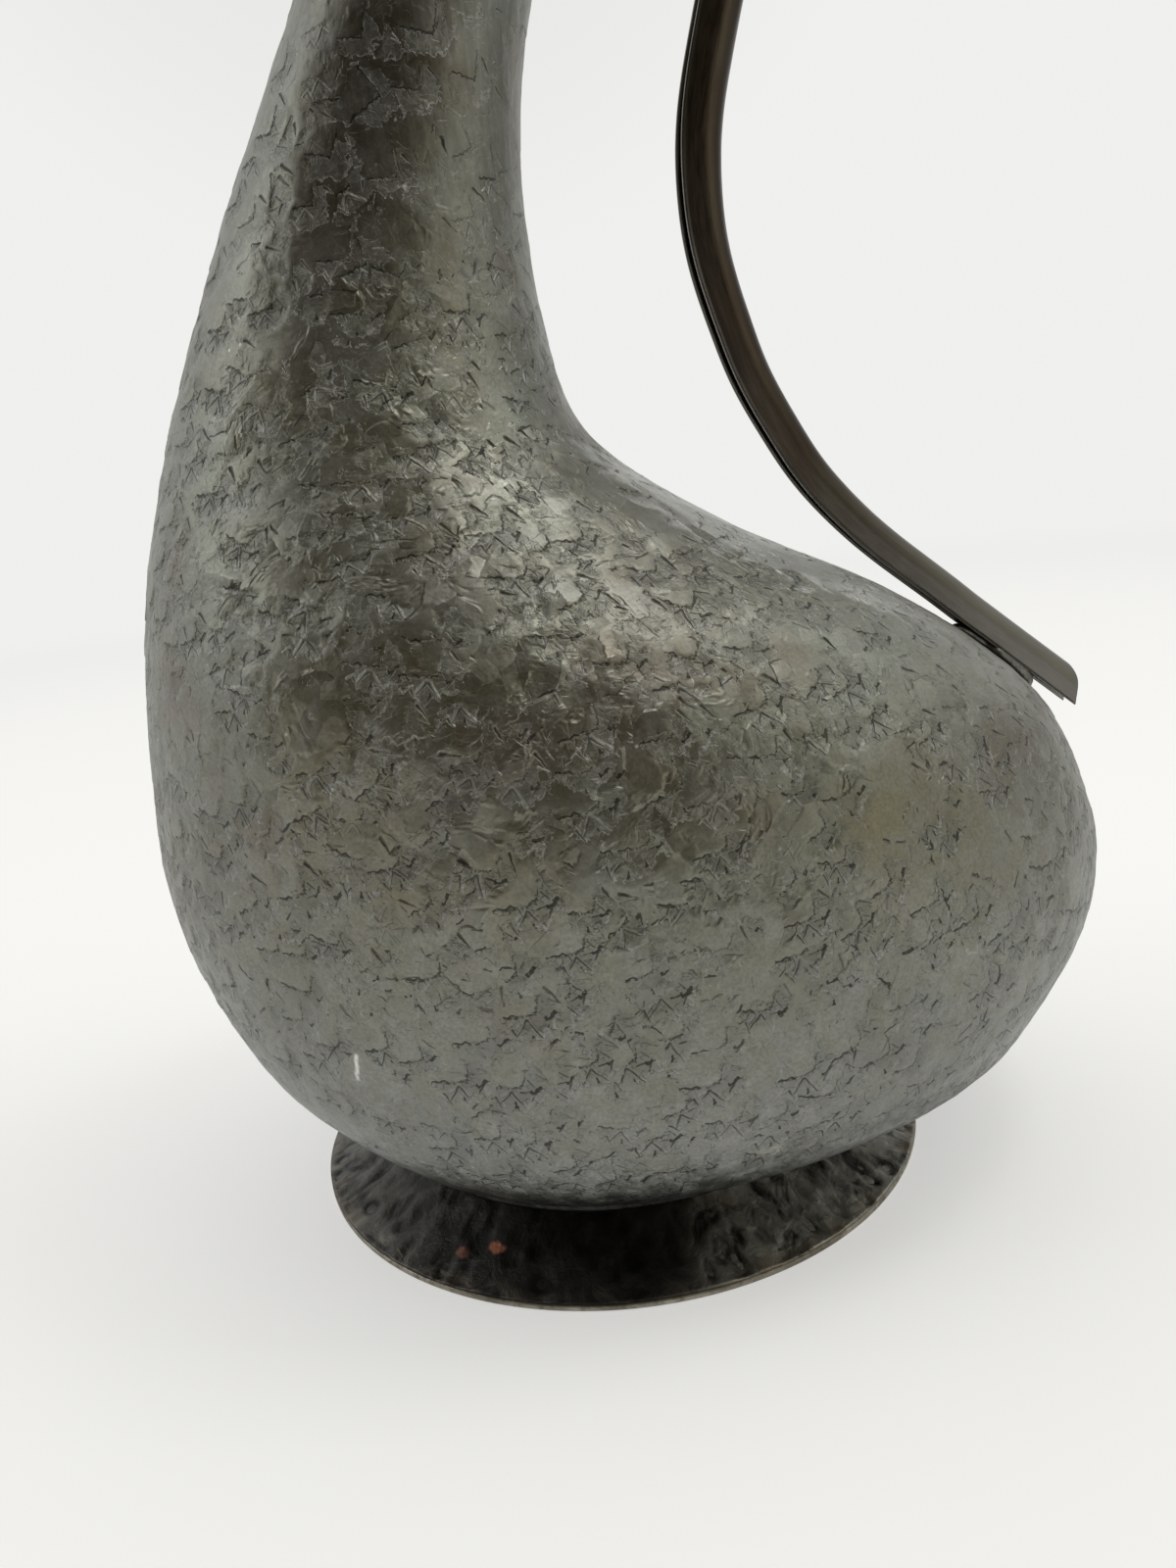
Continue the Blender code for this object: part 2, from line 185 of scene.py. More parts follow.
def map_rings(mesh, places, ring_count):
    """Lays the rings of a mesh out flat, one above the other, as a map of its surface."""
    flat = mesh.uv_layers.new(name="OFBake")
    spots = 0.01 + 0.98 * places * (1.0, 1.0 / ring_count)
    flat.data.foreach_set("uv", spots.astype(np.float32).ravel())


def rises(value, start, end):
    """0 below start, 1 above end, and smooth between."""
    share = np.clip((value - start) / (end - start), 0, 1)
    return share * share * (3 - 2 * share)


levels = even_positions(SKIN_STEP)
level_heights = smooth_through(BODY_SECTIONS, levels)[:, 0]
outside_rings = [BELLY_SIDES if height < NECK_FROM else NECK_SIDES for height in level_heights]
ring_angles = [full_turn(count) for count in outside_rings]
skin_positions = np.concatenate([np.full(len(a), level) for level, a in zip(levels, ring_angles)])
skin, _, skin_out = skin_frame(skin_positions, np.concatenate(ring_angles))
skin_starts = np.concatenate([[0], np.cumsum(outside_rings)])

# the blows, row above row, each with its place, its way across, its way up and its force
BLOW_SPACING = 0.0054
BLOW_ROW = 0.0060
BLOW_JITTER = 0.0018
BLOW_TILT = math.radians(17)
BLOW_RADIUS = 5.0
MISSED_SHARE = 0.05
PLATE_PRESS = 0.45
GIRTH_SAMPLES = 200
FORCE_MIDDLE, FORCE_SPREAD = 0.85, 0.28
FORCE_LEAST, FORCE_MOST = 0.2, 1.5
BLOW_REACH = BLOW_RADIUS + 1.5
STEP_X, STEP_Y = 0.9, -0.6
blow_draws = np.random.default_rng(7)
blow_rows = even_positions(BLOW_ROW)
blow_positions, blow_angles = [], []
for row in blow_rows:
    ring = body_skin(np.full(GIRTH_SAMPLES, row), full_turn(GIRTH_SAMPLES))
    girth = np.linalg.norm(ring - np.roll(ring, 1, axis=0), axis=1).sum()
    count = round(girth / BLOW_SPACING)
    shift = blow_draws.random()
    sideways = blow_draws.normal(0, BLOW_JITTER / BLOW_SPACING, count)
    upwards = blow_draws.normal(0, BLOW_JITTER / BLOW_ROW, count) * (blow_rows[1] - blow_rows[0])
    blow_angles.append((np.arange(count) + shift + sideways) * math.tau / count)
    blow_positions.append(np.clip(row + upwards, 0.05, len(BODY_SECTIONS) - 1.05))
blow_positions = np.concatenate(blow_positions)
blow_angles = np.concatenate(blow_angles)
blow_count = len(blow_positions)
blow_centre, blow_across, blow_out = skin_frame(blow_positions, blow_angles)
blow_up = np.cross(blow_out, blow_across)
tilts = blow_draws.normal(0, BLOW_TILT, blow_count)[:, None]
blow_across, blow_up = (blow_across * np.cos(tilts) + blow_up * np.sin(tilts),
                        blow_up * np.cos(tilts) - blow_across * np.sin(tilts))
blow_force = np.clip(blow_draws.normal(FORCE_MIDDLE, FORCE_SPREAD, blow_count), FORCE_LEAST, FORCE_MOST)
blow_force[blow_draws.random(blow_count) < MISSED_SHARE] = 0.0
blow_force *= 1 - 0.35 * rises(blow_centre[:, 2], 0.180, 0.215)
blow_force *= 1 - 0.4 * rises(blow_centre[:, 2], 0.130, 0.170) * rises(blow_out[:, 0], 0.25, 0.65)
blow_scale = MM * blow_draws.uniform(0.84, 1.20, blow_count)
blow_order = blow_draws.permutation(blow_count)


def blow_relief(x, y):
    """Height in millimetres that one blow leaves, x to the right of its middle and y above it, and where
    it breaks the surface: all but the upper left, which a jagged step keeps apart."""
    r = np.hypot(x, y)
    jag_x = STEP_X + 0.30 * np.sin(2.3 * y + 0.7) + 0.16 * np.sin(5.1 * y)
    jag_y = STEP_Y + 0.28 * np.sin(2.0 * x + 0.4) + 0.15 * np.sin(4.7 * x)
    broken = rises(np.maximum(x - jag_x, jag_y - y), -0.2, 0.45)
    dent = -0.31 * np.clip(1 - r / BLOW_RADIUS, 0, 1) ** 0.8
    facing = (x - y) / np.maximum(r, 0.1) / math.sqrt(2)
    lip = 0.040 * np.exp(-((r - BLOW_RADIUS) / 0.5) ** 2) * rises(facing, -0.3, 0.5)
    return dent * broken + lip, broken


skin_relief = np.zeros(len(skin))
rows_reached = 2 * math.ceil(BLOW_REACH * blow_scale.max() / SKIN_STEP)
level_of_blow = np.searchsorted(levels, blow_positions)


def struck_by(blow, spots, starts, last, reach):
    """The spots within reach of a blow, and where they lie to the right of its middle and above it."""
    low = starts[max(0, level_of_blow[blow] - rows_reached)]
    high = starts[min(last, level_of_blow[blow] + rows_reached)]
    away = (spots[low:high] - blow_centre[blow]) / blow_scale[blow]
    near = np.flatnonzero(np.einsum("ij,ij->i", away, away) < reach**2)
    away = away[near]
    return near + low, away @ blow_across[blow], away @ blow_up[blow]


for blow in blow_order:
    near, x, y = struck_by(blow, skin, skin_starts, len(levels), BLOW_REACH)
    relief, broken = blow_relief(x, y)
    inside = 1 - rises(np.hypot(x, y), BLOW_RADIUS - 0.4, BLOW_RADIUS + 0.2)
    kept = 1 - inside * (0.45 + 0.25 * broken)
    skin_relief[near] = skin_relief[near] * kept + relief * blow_force[blow]

skin_x, skin_y, skin_z = skin.T
waves = np.sin(skin_x * 290 + 2.0 * np.sin(skin_z * 170)) * np.sin(skin_z * 240 + skin_y * 130)
waves += np.sin(skin_y * 310 + skin_z * 150)
height_there = np.repeat(level_heights, outside_rings)
calm = rises(height_there, 0.001, 0.006)
calm *= 1 - rises(height_there, MOUTH_HEIGHT - 0.006, MOUTH_HEIGHT - 0.001)
lower_calm = 0.55 + 0.45 * rises(height_there, 0.015, 0.045)
skin_relief = (skin_relief * lower_calm + 0.07 * waves) * calm
outside = skin + skin_out * (skin_relief * MM)[:, None]

inside_levels = np.concatenate([levels[:-1:INSIDE_STEP], levels[-1:]])[::-1]
inside_angles = np.tile(full_turn(NECK_SIDES), len(inside_levels))
inside, _, inside_out = skin_frame(np.repeat(inside_levels, NECK_SIDES), inside_angles)
inside = inside - inside_out * BODY_WALL
body_rings = outside_rings + [NECK_SIDES] * len(inside_levels)
body_faces, body_places = ring_faces(body_rings)
body = add_piece("ewer_body", np.concatenate([outside, inside]), body_faces)
relief_all = np.concatenate([skin_relief, np.zeros(len(inside))])
give_values(body.data, "relief", "FLOAT", "POINT", relief_all)
map_rings(body.data, body_places, len(body_rings))

# each face of the outside takes the place of the last blow that covers it
face_middle = np.array([face[:4] if len(face) == 4 else face + face[-1:] for face in body_faces])
face_middle = np.concatenate([outside, inside])[face_middle].mean(axis=1)
face_ring = np.floor(body_places[np.cumsum([0] + [len(face) for face in body_faces[:-1]]), 1] + 1e-6)
face_starts = np.searchsorted(face_ring, np.arange(len(levels) + 1))
owner = np.full(len(body_faces), -1)
pressed = np.ones(len(body_faces))
for blow in blow_order:
    near, x, y = struck_by(blow, face_middle, face_starts, len(levels) - 1, BLOW_RADIUS + 0.1)
    broken = (x > STEP_X - 0.6) | (y < STEP_Y + 0.6)
    owner[near[broken]] = blow
    pressed[near[broken]] = 1.0
    pressed[near[~broken]] *= PLATE_PRESS
face_struck = owner >= 0
give_values(body.data, "blow_centre", "FLOAT_VECTOR", "FACE", blow_centre[owner])
give_values(body.data, "blow_across", "FLOAT_VECTOR", "FACE", blow_across[owner] / blow_scale[owner, None])
give_values(body.data, "blow_up", "FLOAT_VECTOR", "FACE", blow_up[owner] / blow_scale[owner, None])
give_values(body.data, "blow_force", "FLOAT", "FACE", np.where(face_struck, blow_force[owner] * pressed, 0.0))


def node_adder(tree):
    """A function that adds a node to a tree with its settings and inputs, and gives one of its outputs."""
    def add(kind, inputs, out=0, **settings):
        node = tree.nodes.new("ShaderNode" + kind)
        for setting, value in settings.items():
            setattr(node, setting, value)
        pairs = inputs.items() if isinstance(inputs, dict) else enumerate(inputs)
        for socket, value in pairs:
            if isinstance(value, bpy.types.NodeSocket):
                tree.links.new(value, node.inputs[socket])
            else:
                node.inputs[socket].default_value = value
        return node.outputs[out]

    return add


def new_finish(name):
    """A new material, its shader, a function that adds nodes, and one that wires them to the shader."""
    material = bpy.data.materials.new(name)
    material.use_nodes = True
    shader = material.node_tree.nodes["Principled BSDF"]

    def wire(socket, value):
        material.node_tree.links.new(value, shader.inputs[socket])

    return material, shader, node_adder(material.node_tree), wire


def sums(add, how, *values):
    """Several values put together two at a time by one kind of sum."""
    total = values[0]
    for value in values[1:]:
        total = add("Math", [total, value], operation=how)
    return total


def times(add, *values):
    """Several values multiplied together."""
    return sums(add, "MULTIPLY", *values)


def weighed(add, *layers):
    """Layers added up, each of them a group of values that are multiplied together."""
    return sums(add, "ADD", *[times(add, *layer) for layer in layers])


def vector(add, how, *values):
    """Vectors put together in one way; a length or a dot product comes out as a plain number."""
    out = "Value" if how in ("LENGTH", "DOT_PRODUCT") else 0
    return add("VectorMath", values, out=out, operation=how)


def scaled(add, value, scale):
    """A vector made longer or shorter."""
    return add("VectorMath", {0: value, "Scale": scale}, operation="SCALE")


def parts(add, kind, value):
    """The three numbers of a vector, kind XYZ, or of a colour, kind Color."""
    return tuple(add("Separate" + kind, [value]).node.outputs)


def shaken(add, place, scale, detail, reach):
    """Uneven shifts, up to half of reach each way."""
    shift = add("TexNoise", {"Vector": place, "Scale": scale, "Detail": detail}, out="Color")
    return scaled(add, vector(add, "SUBTRACT", shift, MIDDLE), reach)


def between(add, value, low, high, start=0.0, end=1.0):
    """A value carried over from the range low to high to the range start to end, and held there."""
    return add("MapRange", [value, low, high, start, end], interpolation_type="SMOOTHSTEP")


def tinted(add, share, under, over):
    """One colour laid over another by a share."""
    return add("Mix", {0: share, 6: under, 7: over}, out=2, data_type="RGBA")


def grain(add, place, scale, detail=3.0, rough=0.55, warp=0.0):
    """Uneven cloudy shades, 0 to 1."""
    inputs = {"Vector": place, "Scale": scale, "Detail": detail, "Roughness": rough, "Distortion": warp}
    return add("TexNoise", inputs)


def cut_line(add, place, start, end, width, taper=0.0):
    """1 along a straight mark from start to end, falling to 0 at its width, which may taper to the end."""
    run = Vector(end) - Vector(start)
    step = (run / run.length_squared).to_3d()
    away = vector(add, "SUBTRACT", place, Vector(start).to_3d())
    share = add("Clamp", [vector(add, "DOT_PRODUCT", away, step), 0.0, 1.0])
    gap = vector(add, "SUBTRACT", away, scaled(add, run.to_3d(), share))
    gap = vector(add, "LENGTH", gap)
    if taper:
        width = add("Math", [share, -taper * width, width], operation="MULTIPLY_ADD")
    return between(add, gap, 0.0, width, 1.0, 0.0)


def cut_lines(add, place, *marks):
    """The strongest of several straight marks at each spot."""
    return sums(add, "MAXIMUM", *[cut_line(add, place, *mark) for mark in marks])


PATINA_BROWN = (0.195, 0.187, 0.154, 1.0)
PATINA_GREY = (0.274, 0.284, 0.266, 1.0)
PATINA_OLIVE = (0.215, 0.222, 0.184, 1.0)
PATINA_PALE = (0.360, 0.362, 0.345, 1.0)
PATINA_RED = (0.168, 0.122, 0.094, 1.0)
WARM_PATINA_AND_REFLECTION = (0.202, 0.186, 0.126, 1.0)
NECK_REFLECTION_BROWN = (0.068, 0.054, 0.034, 1.0)
BACK_HIGHLIGHT = (0.530, 0.532, 0.505, 1.0)
SPECK_PALE = (0.55, 0.55, 0.52, 1.0)
DEEP_BLACK = (0.015, 0.014, 0.012, 1.0)
MIDDLE = (0.5, 0.5, 0.5)
FLAKE_SCALE = 0.62
CHIP_SCALE = 1.7
OLD_FLAKE_SCALE = 520.0
CRUMPLE_SCALE = 250.0
TORN_DEPTH = -0.92
LEE = 0.32

copper, shader, add, wire = new_finish("hammered_copper")
place = add("TexCoord", [], out="Object")
centre = add("Attribute", [], out="Vector", attribute_name="blow_centre")
across = add("Attribute", [], out="Vector", attribute_name="blow_across")
upward = add("Attribute", [], out="Vector", attribute_name="blow_up")
force = add("Attribute", [], out="Fac", attribute_name="blow_force")
relief = add("Attribute", [], out="Fac", attribute_name="relief")
above_floor = parts(add, "XYZ", place)[2]
neckward = between(add, above_floor, 0.150, 0.205)
struck = between(add, force, 0.10, 0.80)

# where on the hammer's face this spot was struck, in millimetres, made a little ragged
from_centre = vector(add, "SUBTRACT", place, centre)
face_x = vector(add, "DOT_PRODUCT", from_centre, across)
face_y = vector(add, "DOT_PRODUCT", from_centre, upward)
face_place = add("CombineXYZ", [face_x, face_y, 0.0])
own_shake = shaken(add, place, 420.0, 2.0, 0.75)
line_place = vector(add, "ADD", face_place, own_shake)
ragged_place = vector(add, "ADD", face_place, shaken(add, face_place, 1.3, 3.0, 1.1))
ragged_place = vector(add, "ADD", ragged_place, own_shake)

# marks of the hammer's face: one deep cut, ridges like two roofs, a jagged step, a shelf and small chips
own_look = add("TexWhiteNoise", [centre], out="Color")
has_cut, has_roof, has_chips = parts(add, "Color", own_look)
deep_cut = times(add, cut_line(add, line_place, (2.4, 3.6), (4.2, 1.5), 0.50, 0.7),
                 between(add, has_cut, 0.52, 0.60), between(add, force, 0.05, 0.40),
                 between(add, above_floor, 0.045, 0.085, 0.40, 1.0))
roof_here = times(add, struck, between(add, has_roof, 0.30, 0.42))
roof = cut_lines(add, line_place,
                 ((-0.6, -1.0), (-2.2, -3.2), 0.44), ((-0.6, -1.0), (1.5, -3.7), 0.44),
                 ((-2.9, -2.2), (-4.0, -3.0), 0.32), ((-2.9, -2.2), (-2.0, -4.1), 0.30),
                 ((2.7, 1.8), (4.4, 1.1), 0.20))
roof = times(add, roof, roof_here)
roof_shade = cut_lines(add, line_place,
                       ((-0.7, -1.4), (-2.2, -3.6), 0.42, 0.7), ((-0.5, -1.4), (1.4, -4.0), 0.36, 0.7),
                       ((-2.9, -2.6), (-2.1, -4.3), 0.36, 0.7), ((2.9, -0.9), (2.2, -2.4), 0.46, 0.7))
roof_shade = times(add, roof_shade, roof_here)
step_lines = cut_lines(add, ragged_place,
                       ((-3.6, -0.7), (-0.9, -0.8), 0.26), ((-0.9, -0.8), (STEP_X, 0.0), 0.22),
                       ((STEP_X, 0.0), (1.3, 2.3), 0.24))
step_lines = times(add, step_lines, struck)
chips = cut_lines(add, line_place,
                  ((0.7, -1.2), (3.4, -0.8), 0.22), ((-2.6, -0.8), (-2.9, -1.8), 0.2),
                  ((-1.7, -0.9), (-1.4, -1.7), 0.2), ((1.6, 0.9), (2.6, -0.2), 0.2))
chips = times(add, chips, struck, between(add, has_chips, 0.35, 0.50))
uneven = between(add, grain(add, place, 360.0, 3.0, 0.6), 0.25, 0.75, -1.6, 1.6)


def broken_part(shift):
    """1 where the blow broke the surface, a shift in millimetres from here, and the gap to its middle."""
    from_middle = vector(add, "ADD", face_place, shift)
    border = sums(add, "ADD", vector(add, "LENGTH", from_middle), uneven)
    in_disc = between(add, border, BLOW_RADIUS - 0.9, BLOW_RADIUS - 0.6, 1.0, 0.0)
    ragged_x, ragged_y, _ = parts(add, "XYZ", vector(add, "ADD", ragged_place, shift))
    right_of_step = between(add, ragged_x, STEP_X - 0.05, STEP_X + 0.15)
    under_step = between(add, ragged_y, STEP_Y - 0.15, STEP_Y + 0.05, 1.0, 0.0)
    return times(add, sums(add, "MAXIMUM", right_of_step, under_step), in_disc, struck), border


broken, border = broken_part((0.0, 0.0, 0.0))
downward = vector(add, "DOT_PRODUCT", face_place, (0.11, -0.17, 0.0))
rim_line = times(add, between(add, border, BLOW_RADIUS - 1.5, BLOW_RADIUS - 1.2),
                 between(add, border, BLOW_RADIUS - 1.0, BLOW_RADIUS - 0.7, 1.0, 0.0),
                 between(add, downward, 0.25, 0.7), broken)


# the broken part is torn into small flakes that stand at different heights, and older marks lie under it
def flakes(spots, scale, flat):
    """Heights of torn flakes, 0 to 1, with the lean of each one's face and the gap to its edge."""
    kind = {"voronoi_dimensions": "2D" if flat else "3D"}
    inputs = {"Vector": spots, "Scale": scale}
    shade = add("TexVoronoi", inputs, out="Color", **kind)
    middle = add("TexVoronoi", inputs, out="Position", **kind)
    edge = add("TexVoronoi", inputs, feature="DISTANCE_TO_EDGE", **kind)
    lean = vector(add, "SUBTRACT", shade, MIDDLE)
    lean = vector(add, "DOT_PRODUCT", lean, vector(add, "SUBTRACT", spots, middle))
    return parts(add, "Color", shade)[2], lean, edge


flake, flake_lean, flake_edge = flakes(ragged_place, FLAKE_SCALE, True)
chip_flake, _, _ = flakes(line_place, CHIP_SCALE, True)
old_place = vector(add, "ADD", place, scaled(add, own_shake, 0.5 * MM))
old_flake, old_lean, _ = flakes(old_place, OLD_FLAKE_SCALE, False)
crumple_place = vector(add, "ADD", place, scaled(add, own_shake, 1.6 * MM))
crumple, crumple_lean, crumple_edge = flakes(crumple_place, CRUMPLE_SCALE, False)
crumpled = times(add, between(add, grain(add, place, 105.0, 3.0, 0.6, 0.8), 0.44, 0.54),
                 between(add, neckward, 0.0, 1.0, 1.0, 0.35))
crumple_lines = times(add, between(add, crumple_edge, 0.00005, 0.00028, 1.0, 0.0), crumpled,
                      between(add, crumple, 0.35, 0.55))
old_share = between(add, neckward, 0.0, 1.0, 1.0, 0.30)


# lee side of each torn edge: painted shade where the surface drops to the lower right, and a painted
# highlight where it rises, as if lit from above
def torn(part, heights):
    """How high the torn surface stands where the blow broke it."""
    return times(add, part, add("Math", [heights, old_share, TORN_DEPTH], operation="MULTIPLY_ADD"))


lee_shift = (LEE, -LEE, 0.0)
lee_broken, _ = broken_part(lee_shift)
lee_flake, _, _ = flakes(vector(add, "ADD", ragged_place, lee_shift), FLAKE_SCALE, True)
lee_way = scaled(add, vector(add, "SUBTRACT", across, upward), LEE * MM * MM)
lee_crumple, _, _ = flakes(vector(add, "ADD", crumple_place, lee_way), CRUMPLE_SCALE, False)
torn_drop = add("Math", [torn(lee_broken, lee_flake), torn(broken, flake)], operation="SUBTRACT")
crumple_drop = times(add, add("Math", [lee_crumple, crumple], operation="SUBTRACT"), crumpled, 0.9)
drop = sums(add, "ADD", torn_drop, crumple_drop)
# painted shade on the lee side of each edge, painted highlight on its rise
painted_lee_shade = between(add, drop, -0.12, -0.75, 0.0, 0.82)
painted_rise_highlight = between(add, drop, 0.12, 0.75, 0.0, 0.54)
crack_lines = times(add, between(add, flake_edge, 0.0, 0.07, 1.0, 0.0), broken,
                    between(add, grain(add, line_place, 0.9, 2.0), 0.44, 0.58),
                    between(add, neckward, 0.0, 1.0, 1.0, 0.3))
rough_grain = grain(add, place, 900.0, 4.0, 0.65)
fine_grain = grain(add, place, 1700.0, 3.0, 0.6)
brushed = grain(add, vector(add, "MULTIPLY", place, (900.0, 900.0, 60.0)), 1.0, 3.0, 0.6)

# heights in millimetres, each layer with how much it counts
height = weighed(
    add,
    (deep_cut, -0.22),
    (roof, 0.140),
    (roof_shade, -0.14),
    (step_lines, -0.13),
    (chips, -0.08),
    (crack_lines, -0.04),
    (flake, broken, old_share, 0.130),
    (flake_lean, broken, 0.22),
    (chip_flake, broken, old_share, 0.030),
    (broken, -0.12),
    (crumple, crumpled, 0.130),
    (crumple_lean, crumpled, 190.0),
    (crumple_lines, -0.08),
    (old_flake, old_share, between(add, broken, 0.0, 1.0, 0.022, 0.036)),
    (old_lean, old_share, between(add, broken, 0.0, 1.0, 40.0, 130.0)),
    (rim_line, 0.025),
    (rough_grain, between(add, broken, 0.0, 1.0, 0.010, 0.05)),
    (brushed, neckward, 0.035),
    (fine_grain, 0.012),
)
wire("Normal", add("Bump", {"Strength": 1.0, "Distance": MM, "Height": height}))

# colour: brown and olive clouds, greyer low down and where the blows broke the surface, black in the cuts,
# with painted shade, highlights and reflections laid in
clouds = grain(add, place, 21.0, 3.0, 0.6, 0.4)
small_clouds = grain(add, place, 110.0, 5.0, 0.65, 0.3)
mottle = grain(add, place, 260.0, 3.0, 0.6)
_, facing_side, facing_up = parts(add, "XYZ", add("TexCoord", [], out="Normal"))
facing_side = add("Math", [facing_side], operation="ABSOLUTE")
colour = tinted(add, between(add, clouds, 0.36, 0.66), PATINA_BROWN, PATINA_OLIVE)
# warmer on the broad sides, which face front and back: partly patina, partly a painted reflection of the warm
# dim room in front
flat_side = times(add, between(add, facing_side, 0.66, 0.94), between(add, clouds, 0.30, 0.62, 0.80, 0.35))
colour = tinted(add, flat_side, colour, WARM_PATINA_AND_REFLECTION)
# the neck's broad sides, which face front and back, darker brown: a painted reflection of the dim room in
# front
neck_dark_reflection = times(add, between(add, facing_side, 0.74, 0.95, 0.0, 0.90), neckward)
colour = tinted(add, neck_dark_reflection, colour, NECK_REFLECTION_BROWN)
red_spots = times(add, between(add, grain(add, place, 38.0, 2.0), 0.54, 0.70), 0.42)
colour = tinted(add, red_spots, colour, PATINA_RED)
# greyer and paler low down: partly patina, partly a painted reflection of the white floor
low_down = between(add, above_floor, 0.020, 0.090, 1.0, 0.0)
greyness = weighed(add, (low_down, 0.60), (broken, 0.12), (neckward, 0.12),
                   (between(add, small_clouds, 0.38, 0.68, 0.0, 0.32),))
colour = tinted(add, greyness, colour, PATINA_GREY)
bloom_and_floor_reflection = times(add, between(add, mottle, 0.48, 0.70), between(add, low_down, 0.0, 1.0, 0.10, 0.40))
colour = tinted(add, bloom_and_floor_reflection, colour, PATINA_PALE)
# paler on ridges, lips and raised rims: partly wear, partly a painted highlight where they catch the light;
# the rise of each torn edge is a painted highlight
wear_and_painted_highlight = weighed(add, (painted_rise_highlight,), (roof, 0.36), (rim_line, 0.08), (between(add, relief, 0.0, 0.10), 0.15))
colour = tinted(add, wear_and_painted_highlight, colour, PATINA_PALE)
# a pale band along the top of the back, where it faces up: a painted highlight
painted_back_highlight = times(add, between(add, facing_up, 0.60, 0.80), between(add, above_floor, 0.100, 0.118),
                   between(add, facing_side, 0.30, 0.40, 1.0, 0.0), 0.90)
colour = tinted(add, painted_back_highlight, colour, BACK_HIGHLIGHT)
specks = times(add, between(add, add("TexVoronoi", {"Vector": place, "Scale": 150.0}), 0.03, 0.06, 1.0, 0.0),
               between(add, grain(add, place, 33.0, 1.0), 0.5, 0.6), 0.75)
colour = tinted(add, specks, colour, SPECK_PALE)
BELLY_SPOTS = (
    # start and end from the foot's middle in millimetres, half width, share, colour
    ((-46.0, -60.6, 53.5), (-46.9, -59.4, 48.6), 0.75, 0.95, (0.80, 0.79, 0.74, 1.0)),
    ((18.2, -68.6, 29.4), (20.4, -68.3, 29.6), 2.3, 0.55, (0.52, 0.50, 0.42, 1.0)),
    ((-24.1, -70.6, 87.6), (-23.7, -70.7, 87.3), 0.95, 0.97, DEEP_BLACK),
    ((-22.9, -71.2, 91.2), (-22.8, -71.2, 91.0), 0.50, 0.90, (0.80, 0.79, 0.76, 1.0)),
    ((-37.7, -63.5, 54.4), (-37.1, -63.9, 55.4), 0.45, 0.80, (0.70, 0.69, 0.65, 1.0)),
)
spot_place = vector(add, "ADD", place, scaled(add, own_shake, MM))
for start, end, half_width, share, spot_colour in BELLY_SPOTS:
    start, end = (Vector(spot) * MM + Vector((FOOT_AXIS_X, 0, 0)) for spot in (start, end))
    spot = cut_line(add, spot_place, start, end, half_width * MM)
    colour = tinted(add, times(add, spot, share), colour, spot_colour)
shadows = sums(
    add, "MAXIMUM",
    times(add, deep_cut, 0.90),
    times(add, step_lines, 0.75),
    times(add, roof_shade, 0.82),
    times(add, chips, 0.75),
    times(add, crack_lines, 0.60),
    between(add, relief, -0.30, 0.0, 0.25, 0.0),
    times(add, crumple_lines, 0.80),
    times(add, crumpled, between(add, crumple, 0.15, 0.85, 0.10, 0.0)),
    times(add, broken, between(add, flake, 0.15, 0.85, 0.10, 0.0)),
    painted_lee_shade,
    times(add, neckward, between(add, brushed, 0.35, 0.7, 0.30, 0.0)),
    times(add, broken, between(add, rough_grain, 0.35, 0.65, 0.22, 0.0)),
    between(add, fine_grain, 0.3, 0.7, 0.24, 0.0),
)
colour = tinted(add, shadows, colour, DEEP_BLACK)
# black just above the foot: painted shade and a painted reflection of the dark foot
painted_shade_height = sums(add, "ADD", above_floor, between(add, mottle, 0.3, 0.7, -0.0030, 0.0030))
colour = tinted(add, between(add, painted_shade_height, 0.0160, 0.0330, 0.90, 0.0), colour, DEEP_BLACK)
wire("Base Color", colour)
gloss = sums(add, "ADD", between(add, broken, 0.0, 1.0, 0.38, 0.44),
             between(add, small_clouds, 0.3, 0.7, 0.0, 0.07))
wire("Roughness", gloss)
shader.inputs["Metallic"].default_value = 1.0
body.data.materials.append(copper)
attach(body, "root")
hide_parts("body_shell")

# Base plate: a shallow domed disc of the same copper, let into the opening under the belly.
# It is raised a little towards the middle, planished in rings, and seen from below or down the neck.
BASE_LOW, BASE_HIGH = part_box("base_disc")
BASE_RADIUS = (BASE_HIGH.x - BASE_LOW.x) / 2
BASE_THICKNESS = 0.0012
BASE_DOME = BASE_HIGH.z - BASE_LOW.z - BASE_THICKNESS
BASE_RINGS = 44
BASE_PIN = 0.006
BASE_DENT = 0.00008
BASE_WAVE = 46.0
TURN_SIDES = 240


def turned(outline, sides):
    """Points of rings turned about the foot's axis from (radius, height) pairs."""
    angles = full_turn(sides)
    radius, height = np.asarray(outline, float).T
    points = (FOOT_AXIS_X + radius[:, None] * np.cos(angles), radius[:, None] * np.sin(angles),
              height[:, None] + 0 * angles)
    return np.stack(points, axis=-1).reshape(-1, 3)


def capped_rings(sides, count):
    """Faces that join equal rings in turn, with one face over each end."""
    faces = ring_faces([sides] * count)[0][:-sides]
    last = sides * (count - 1)
    return faces + [list(range(sides))[::-1], list(range(last, last + sides))]


base_shares = np.linspace(BASE_PIN, 1.0, BASE_RINGS)
base_dents = BASE_DENT * np.sin(base_shares * BASE_WAVE)
base_under = np.stack([BASE_RADIUS * base_shares, BASE_LOW.z + BASE_DOME * (1 - base_shares**2)], axis=1)
base_over = base_under + np.stack([0 * base_dents, BASE_THICKNESS + np.minimum(base_dents, 0)], axis=1)
base_outline = np.concatenate([base_under, base_over[::-1]])
base_faces = capped_rings(TURN_SIDES, len(base_outline))
base = add_piece("base_plate", turned(base_outline, TURN_SIDES), base_faces)


